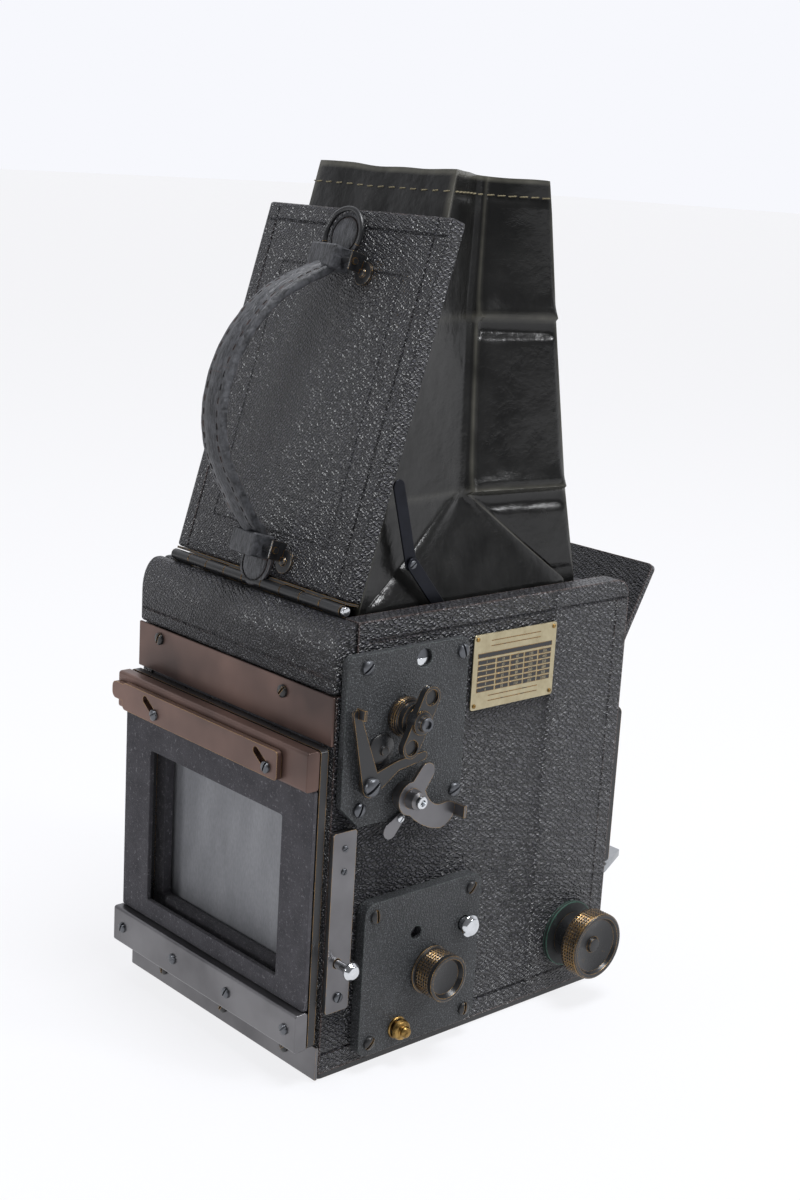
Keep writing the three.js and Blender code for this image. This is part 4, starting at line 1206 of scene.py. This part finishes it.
class PRESSCAMERA_OT_shutter_controls(bpy.types.Operator):
    """Make the upper plate with the winding key, levers and window"""
    bl_idname = "presscamera.shutter_controls"
    bl_label = "Shutter controls"

    def execute(self, context):
        plate = rework("shutter_plate", "shutter_plate_crackle", 1.1 * MM, 3)
        fit(coat(plate, "crackle_enamel"), "body", "crackle", "shutter_plate")
        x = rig.box("shutter_plate")[0].x
        # The disc behind the round window, half of it silvered
        window = (46 * MM, 195.5 * MM)
        disc = turn("window_disc", [(x + 3.2 * MM, 4.3 * MM), (x + 2.2 * MM, 4.3 * MM),
                                    (x + 2.0 * MM, 4.0 * MM)], window, 24)
        fit(coat(shade(disc), "dull_steel"), "body", "black_enamel")
        half = rod("window_half", 3.9 * MM, (x + 2.1 * MM, *window), (x + 1.7 * MM, *window), 24)
        carve(half, block("cut", (x, 30 * MM, 195 * MM), (x + 5 * MM, 60 * MM, 210 * MM)))
        fit(coat(soften(half, 0.08 * MM, 1), "bright_nickel"), "body", "nickel")
        for node, name, finish, edge in (("dome_cap", "domed_disc", "worn_black_enamel", 0.25),
                                         ("winding_key", "key_and_collar", "worn_black_enamel", 0.35),
                                         ("pawl_lever", "pawl_blade", "worn_black_enamel", 0.3),
                                         ("mirror_set_lever", "mirror_lever_blade", "blackened_brass", 0.3),
                                         ("time_lever", "pointer_blade", "blackened_brass", 0.3)):
            fit(coat(rework(node, name, edge * MM), finish), BODY_OF[node], "black_enamel", node)
        key = Vector(JOINT["winding_turn"]["pos_m"])
        key_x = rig.box("winding_key")[0].x
        band = turn("key_ring", [(x - 1.2 * MM, 8.0 * MM), (x - 1.4 * MM, 9.1 * MM), (x - 2.8 * MM, 9.1 * MM),
                                 (x - 4.2 * MM, 9.1 * MM), (x - 4.4 * MM, 8.0 * MM)],
                    (key.y, key.z), 40)
        knurl(band, x - 4.3 * MM, x - 1.3 * MM, 0.35 * MM)
        fit(coat(shade(band, 25), "rubbed_black_enamel"), "winding", "black_enamel")
        end = turn("key_end_ring", [(key_x + 1.0 * MM, 3.3 * MM), (key_x - 0.9 * MM, 3.3 * MM),
                                    (key_x - 1.3 * MM, 2.9 * MM), (key_x - 1.3 * MM, 1.9 * MM),
                                    (key_x - 0.2 * MM, 1.7 * MM), (key_x - 0.2 * MM, 0.2 * MM)],
                   (key.y, key.z), 28)
        fit(coat(shade(end), "dull_steel"), "winding", "black_enamel")
        hub = Vector(JOINT["set_lever_turn"]["pos_m"])
        hub_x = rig.box("mirror_set_lever")[0].x
        ring = turn("lever_hub_ring", [(hub_x + 1.2 * MM, 2.9 * MM), (hub_x - 0.6 * MM, 2.9 * MM),
                                       (hub_x - 0.9 * MM, 2.6 * MM), (hub_x - 0.9 * MM, 1.6 * MM),
                                       (hub_x + 0.4 * MM, 1.4 * MM), (hub_x + 0.4 * MM, 0.2 * MM)],
                    (hub.y, hub.z), 28)
        fit(coat(shade(ring), "bright_nickel"), "set_lever", "nickel")
        screws("shutter_plate_screws", [(Vector((x, y * MM, z * MM)), RIGHT_SIDE, 3.3, turned) for y, z,
                                        turned in
                                        ((79.7, 196.1, 0.7), (22.5, 195.6, 1.9), (22.5, 129, 0.4),
                                         (80.4, 130.5, 1.2))],
               "dull_steel", "body", "black_enamel")
        pawl = Vector(JOINT["pawl_turn"]["pos_m"])
        pointer = Vector(JOINT["time_lever_turn"]["pos_m"])
        pawl_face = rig.box("pawl_lever")[1].x - 4.2 * MM
        pointer_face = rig.box("time_lever")[0].x
        screws("pawl_screw", [(Vector((pawl_face, pawl.y, pawl.z)), RIGHT_SIDE, 4.3, 0.6)],
               "dull_steel", "pawl", "black_enamel")
        screws("pointer_screw", [(Vector((pointer_face, pointer.y, pointer.z)), RIGHT_SIDE, 2.0, 1.0)],
               "bright_nickel", "time_lever", "nickel")
        return {"FINISHED"}


class PRESSCAMERA_OT_speed_table(bpy.types.Operator):
    """Etch the plate with the table of shutter settings"""
    bl_idname = "presscamera.speed_table"
    bl_label = "Speed table"

    def execute(self, context):
        low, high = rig.box("speed_plate")
        plate = rework("speed_plate", "speed_plate_silvered", 0.3 * MM)
        fit(coat(plate, "silvered_brass"), "body", "brass", "speed_plate")
        x = low.x
        width, height = high.y - low.y, high.z - low.z

        def field(name, left, right, top, bottom, proud):
            """A black field, given as shares of the plate from its top left corner."""
            return block(name, (x - proud, high.y - width * right, high.z - height * bottom),
                         (x + 0.05 * MM, high.y - width * left, high.z - height * top))

        # The table's columns and rows, as shares of the plate, with a thin line of bare metal between fields
        columns = (0.05, 0.27, 0.44, 0.61, 0.78, 0.95)
        rows = [0.335 + 0.073 * i for i in range(7)]
        line, proud = 0.006, 0.12 * MM
        cells = [field("cell", 0.05, 0.95, 0.25, 0.315, proud)]
        for row_top, row_foot in zip(rows, rows[1:]):
            for left, right in zip(columns, columns[1:]):
                cells.append(field("cell", left + line, right - line, row_top + line, row_foot - line, proud))
        fit(coat(soften(merge("speed_table_fields", cells), 0.03 * MM, 1), "worn_black_enamel"), "body",
            "black_enamel")

        table = (("1", "10", "40", "125", "350"), ("2", "15", "65", "195", "440"),
                 ("3", "20", "75", "235", "550"),
                 ("4", "25", "80", "260", "680"), ("5", "30", "90", "295", "825"),
                 ("6", "35", "110", "325", "1000"))
        digits = []
        for row, numbers in enumerate(table):
            for column, number in enumerate(numbers):
                bpy.ops.object.select_all(action="DESELECT")
                bpy.ops.object.text_add()
                text = bpy.context.object
                text.data.body = number
                text.data.size = 1.9 * MM
                text.data.align_x = "CENTER"
                text.data.extrude = 0.02 * MM
                text.data.resolution_u = 2
                bpy.ops.object.convert(target="MESH")
                text = bpy.context.object
                centre_y = high.y - width * (columns[column] + columns[column + 1]) / 2
                base_z = high.z - height * (rows[row + 1] - 0.018)
                text.matrix_world = Matrix(((0, 0, -1, x - 0.14 * MM), (-1, 0, 0, centre_y),
                                            (0, 1, 0, base_z), (0, 0, 0, 1)))
                digits.append(settle(text))
        fit(coat(merge("speed_table_numbers", digits), "silvered_brass"), "body", "brass")

        # Two plain engraved rules stand where a heading and a footing would be
        half_rule = 0.25 * MM / height
        rules = [field("rule", 0.2, 0.8, down - half_rule, down + half_rule, 0.08 * MM)
                 for down in (0.1, 0.17, 0.83, 0.9)]
        fit(coat(soften(merge("speed_table_rules", rules), 0.05 * MM, 1), "worn_black_enamel"), "body",
            "black_enamel")
        rivet = turn("rivet_template", [(0, 1.1 * MM), (-0.4 * MM, 1.0 * MM), (-0.65 * MM, 0.6 * MM),
                                        (-0.7 * MM, 0.1 * MM)], (0, 0), 16)
        inset = 2.2 * MM
        rivets = [copy_of(rivet, "rivet", Matrix.Translation((x, y, z)))
                  for y in (low.y + inset, high.y - inset) for z in (low.z + inset, high.z - inset)]
        bpy.data.objects.remove(rivet)
        fit(coat(shade(merge("speed_table_rivets", rivets)), "tarnished_brass"), "body", "brass")
        return {"FINISHED"}


class PRESSCAMERA_OT_tension_controls(bpy.types.Operator):
    """Make the lower plate with the tension knob, chromed button and brass release"""
    bl_idname = "presscamera.tension_controls"
    bl_label = "Tension controls"

    def execute(self, context):
        plate = rework("tension_plate", "tension_plate_crackle", 1.4 * MM, 3)
        fit(coat(plate, "crackle_enamel"), "body", "crackle", "tension_plate")
        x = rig.box("tension_plate")[0].x
        cover = turn("window_cover", [(x + 5.4 * MM, 3.2 * MM), (x + 4.6 * MM, 3.2 * MM),
                                      (x + 4.4 * MM, 3.0 * MM)], (42.7 * MM, 62.8 * MM), 24)
        fit(coat(shade(cover), "cotton_velvet"), "body", "velvet")
        low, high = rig.box("tension_knob")
        centre = Vector(JOINT["tension_turn"]["pos_m"])
        outer, r = low.x, (high.z - low.z) / 2
        bands = [(outer + (high.x - outer) * (0.2 + 0.62 * (1 - i / 5)), r * (0.93 + 0.02 * (i / 5)))
                 for i in range(6)]
        flange = [(high.x, r * 0.94), (high.x - 0.8 * MM, r), (high.x - 1.4 * MM, r * 0.95)]
        # The dished face, as depths in mm from the outer rim and shares of the radius
        dish = [(outer + depth * MM, r * share) for depth, share in
                ((0.8, 0.97), (0.2, 0.96), (0, 0.92), (0.1, 0.82), (2.6, 0.72), (3.4, 0.5), (3.6, 0.05))]
        knob = turn("tension_knob_turned", flange + bands + dish, (centre.y, centre.z), 44)
        knurl(knob, bands[-1][0], bands[0][0], 0.45 * MM)
        fit(coat(shade(knob, 25), "rubbed_black_enamel"), "tension", "black_enamel", "tension_knob")
        for node, name, finish, slot in (("chrome_button", "chromed_button", "bright_nickel", "nickel"),
                                         ("brass_release", "brass_release_stud", "tarnished_brass", "brass")):
            fit(coat(rework(node, name, 0.45 * MM, 3), finish), BODY_OF[node], slot, node)
        low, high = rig.box("brass_release")
        y, z = (low.y + high.y) / 2, (low.z + high.z) / 2
        collar = turn("release_collar", [(x + 0.6 * MM, 5.4 * MM), (x - 0.6 * MM, 5.4 * MM),
                                         (x - 1.0 * MM, 4.9 * MM), (x - 1.0 * MM, 4.3 * MM),
                                         (x + 0.4 * MM, 4.2 * MM)], (y, z), 28)
        fit(coat(shade(collar), "tarnished_brass"), "brass_release", "brass")
        screws("tension_plate_screws", [(Vector((x, y * MM, z * MM)), RIGHT_SIDE, 3.2, turned) for y, z,
                                        turned in
                                        ((8.5, 77.5, 0.9), (68.5, 77.5, 1.6), (68.5, 14.5, 0.8),
                                         (8.5, 14.5, 1.4))],
               "worn_black_enamel", "body", "black_enamel")
        return {"FINISHED"}


class PRESSCAMERA_OT_focusing(bpy.types.Operator):
    """Make the focusing knob and its collar"""
    bl_idname = "presscamera.focusing"
    bl_label = "Focusing knob"

    def execute(self, context):
        sizes = context.scene.press_camera_sizes
        collar = rework("focus_collar", "focus_collar_disc", 0.6 * MM, 3)
        fit(coat(collar, "verdigris_brass"), "body", "black_enamel", "focus_collar")
        low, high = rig.box("focus_knob")
        centre = Vector(JOINT["focus_turn"]["pos_m"])
        outer, r = low.x, (high.z - low.z) / 2
        rim = outer + 9 * MM
        bands = [(rim - 8 * MM * i / 5, r * 0.965) for i in range(6)]
        neck = [(high.x, r * 0.66), (rim + 1.4 * MM, r * 0.66), (rim + 1.0 * MM, r * 0.9),
                (rim + 0.4 * MM, r * 0.965)]
        # The dished face with its centre pin, as depths in mm from the outer rim and shares of the radius
        dish = [(outer + depth * MM, r * share) for depth, share in
                ((0.5, 0.98), (0, 0.94), (0.1, 0.84), (1.8, 0.78), (3.4, 0.5), (3.6, 0.24), (2.2, 0.2),
                 (1.9, 0.15), (1.9, 0.03))]
        knob = turn("focus_knob_turned", neck + bands + dish, (centre.y, centre.z), sizes.knurls)
        knurl(knob, bands[-1][0], bands[0][0], 0.5 * MM)
        fit(coat(shade(knob, 25), "rubbed_black_enamel"), "focus", "black_enamel", "focus_knob")
        return {"FINISHED"}


class PRESSCAMERA_OT_revolving_back(bpy.types.Operator):
    """Make the back frame with its rails, velvet light trap and slotted lock bar"""
    bl_idname = "presscamera.revolving_back"
    bl_label = "Revolving back"

    def execute(self, context):
        for node, name, finish, slot, edge in (
            ("back_frame", "back_frame_enamel", "worn_black_enamel", "black_enamel", 0.5),
                                               ("top_rail", "top_rail_bronze", "patinated_bronze", "bronze",
                                                0.5),
            ("bottom_rail", "bottom_rail_enamel", "blackened_brass", "black_enamel", 0.5),
                                               ("velvet_frame", "velvet_light_trap", "cotton_velvet",
                                                "velvet", 0.9),
            ("slide_lock_bar", "lock_bar_bronze", "patinated_bronze", "bronze", 0.4),
        ):
            fit(coat(rework(node, name, edge * MM), finish), BODY_OF[node], slot, node)
        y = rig.box("bottom_rail")[1].y
        screws("bottom_rail_screws", [(Vector((x * MM, y, 26.6 * MM)), REAR, 2.6, turned)
                                      for x, turned in ((66, 1.2), (22, 0.5), (-22, 1.1), (-66, 0.8))],
               "dull_steel", "back", "black_enamel")
        bar_low, bar_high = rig.box("slide_lock_bar")
        guide_z = 147.2 * MM
        guides = ((-49 * MM, 1.2), (38.5 * MM, 0.6))
        screws("lock_bar_screws", [(Vector((x, bar_high.y + 0.2 * MM, guide_z)), REAR, 2.7, turned)
                                   for x, turned in guides],
               "dull_steel", "back", "black_enamel")
        for x, _ in guides:
            stem = rod("guide_stem", 1.4 * MM, (x, bar_low.y - 1 * MM, guide_z),
                       (x, bar_high.y + 0.25 * MM, guide_z), 16)
            fit(coat(soften(stem, 0.2 * MM, 1), "dull_steel"), "back", "black_enamel")
        return {"FINISHED"}


class PRESSCAMERA_OT_side_strip(bpy.types.Operator):
    """Make the strip at the rear edge with its latch"""
    bl_idname = "presscamera.side_strip"
    bl_label = "Side strip"

    def execute(self, context):
        strip = rework("side_strip", "side_strip_enamel", 0.35 * MM)
        fit(coat(strip, "blackened_brass"), "body", "black_enamel", "side_strip")
        fit(coat(rework("latch_plunger", "latch_plunger_chromed", 0.4 * MM, 3), "bright_nickel"), "latch",
            "nickel", "latch_plunger")
        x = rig.box("side_strip")[0].x
        screws("side_strip_screws", [(Vector((x, 86 * MM, z * MM)), RIGHT_SIDE, size, turned) for z, size,
                                     turned in
                                     ((113, 1.5, 0.4), (102, 1.5, 1.0), (41, 2.4, 1.2))], "dull_steel",
               "body", "black_enamel")
        return {"FINISHED"}


class PRESSCAMERA_OT_front(bpy.types.Operator):
    """Make the front flap, bed, lens and bellows"""
    bl_idname = "presscamera.front"
    bl_label = "Front"

    def execute(self, context):
        for node, name, finish, edge in (
            ("front_flap", "front_flap_covering", "pebbled_leather", 1.0),
            ("focus_bed", "focus_bed_metal", "satin_aluminium", 0.4),
            ("front_standard", "front_standard_metal", "worn_black_enamel", 0.4),
            ("lens_board", "lens_board_enamel", "worn_black_enamel", 0.5),
            ("lens_barrel", "lens_barrel_metal", "worn_black_enamel", 0.4),
            ("front_lens", "front_lens_glass", "lens_glass", 0.2),
        ):
            slot = frame["nodes"][node].material_slots[0].material.name
            fit(coat(rework(node, name, edge * MM), finish), BODY_OF[node], slot, node)
        low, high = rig.box("bellows")
        centre = (low + high) / 2
        half = (high.x - low.x) / 2
        pleats, points = 11, []
        corners = [(math.cos(a), math.sin(a)) for a in (math.pi / 16 * (2 * i + 1) for i in range(16))]
        spread = [max(abs(c), abs(s)) for c, s in corners]
        tall = (high.z - low.z) / 2 / half
        for i in range(pleats * 2 + 1):
            y = low.y + (high.y - low.y) * i / (pleats * 2)
            size = half - (0 if i % 2 else 5 * MM)
            points += [Vector((centre.x + size * c / m, y, centre.z + tall * size * s / m))
                       for (c, s), m in zip(corners, spread)]
        count = len(corners)
        faces = [(i * count + j, i * count + (j + 1) % count, (i + 1) * count + (j + 1) % count,
                  (i + 1) * count + j) for i in range(pleats * 2) for j in range(count)]
        bellows = skin("bellows_leather", points, faces)
        work(bellows, lambda c, n: True, (bpy.ops.mesh.normals_make_consistent, {"inside": False}))
        modify(bellows, "SOLIDIFY", thickness=0.6 * MM, offset=-1.0)
        soften(bellows, 0.3 * MM, 1, 40)
        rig.blend(coat(bellows, "waxed_goatskin"), "body", "front", start=(0, high.y, centre.z),
                 end=(0, low.y, centre.z))
        fit(bellows, "body", "hood_leather", "bellows")
        return {"FINISHED"}


class PRESSCAMERA_OT_inner_works(bpy.types.Operator):
    """Finish every other part: base, mirror, viewing screen, shutter and shafts"""
    bl_idname = "presscamera.inner_works"
    bl_label = "Inner works"

    finishes = {"leather": "pebbled_leather", "hood_leather": "waxed_goatskin", "wood": "mahogany",
                "black_enamel": "worn_black_enamel", "crackle": "crackle_enamel",
                "bronze": "patinated_bronze", "brass": "tarnished_brass", "nickel": "bright_nickel",
                "aluminium": "satin_aluminium", "velvet": "cotton_velvet",
                "curtain_cloth": "rubberised_silk", "glass": "ground_glass", "mirror": "silvered_mirror"}

    def execute(self, context):
        for node, source in frame["nodes"].items():
            slot = source.material_slots[0].material.name
            if source.hide_render:
                continue
            if node == "curtain":
                source.material_slots[0].material = bpy.data.materials[self.finishes[slot]]
                continue
            fit(coat(rework(node, node + "_finished", 0.3 * MM), self.finishes[slot]), BODY_OF[node], slot,
                node)
        return {"FINISHED"}


PARTS = (
    PRESSCAMERA_OT_finishes, PRESSCAMERA_OT_studio, PRESSCAMERA_OT_case, PRESSCAMERA_OT_lid,
         PRESSCAMERA_OT_handle, PRESSCAMERA_OT_hood,
    PRESSCAMERA_OT_stays, PRESSCAMERA_OT_shutter_controls, PRESSCAMERA_OT_speed_table,
         PRESSCAMERA_OT_tension_controls, PRESSCAMERA_OT_focusing,
    PRESSCAMERA_OT_revolving_back, PRESSCAMERA_OT_side_strip, PRESSCAMERA_OT_front,
         PRESSCAMERA_OT_inner_works,
)


class VIEW3D_PT_press_camera(bpy.types.Panel):
    """The camera's parts and sizes"""
    bl_label = "Plate press camera"
    bl_space_type = "VIEW_3D"
    bl_region_type = "UI"
    bl_category = "Camera"

    def draw(self, context):
        for group in (context.scene.press_camera_sizes, context.scene.press_camera_colours):
            for name in group.bl_rna.properties.keys():
                if name not in ("rna_type", "name"):
                    self.layout.prop(group, name)
        for part in PARTS:
            self.layout.operator(part.bl_idname)


CLASSES = (CameraSizes, CameraColours, *PARTS, VIEW3D_PT_press_camera)


def register():
    for cls in CLASSES:
        bpy.utils.register_class(cls)
    bpy.types.Scene.press_camera_sizes = PointerProperty(type=CameraSizes)
    bpy.types.Scene.press_camera_colours = PointerProperty(type=CameraColours)


def unregister():
    del bpy.types.Scene.press_camera_colours
    del bpy.types.Scene.press_camera_sizes
    for cls in reversed(CLASSES):
        bpy.utils.unregister_class(cls)


def main():
    register()
    for part in PARTS:
        group, name = part.bl_idname.split(".")
        getattr(getattr(bpy.ops, group), name)()
    with open("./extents.json", "w") as sizes:
        json.dump({"cad": [list(corner) for corner in cad_box], "visual": [list(corner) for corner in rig.bounds()]}, sizes)


if __name__ == "__main__":
    main()
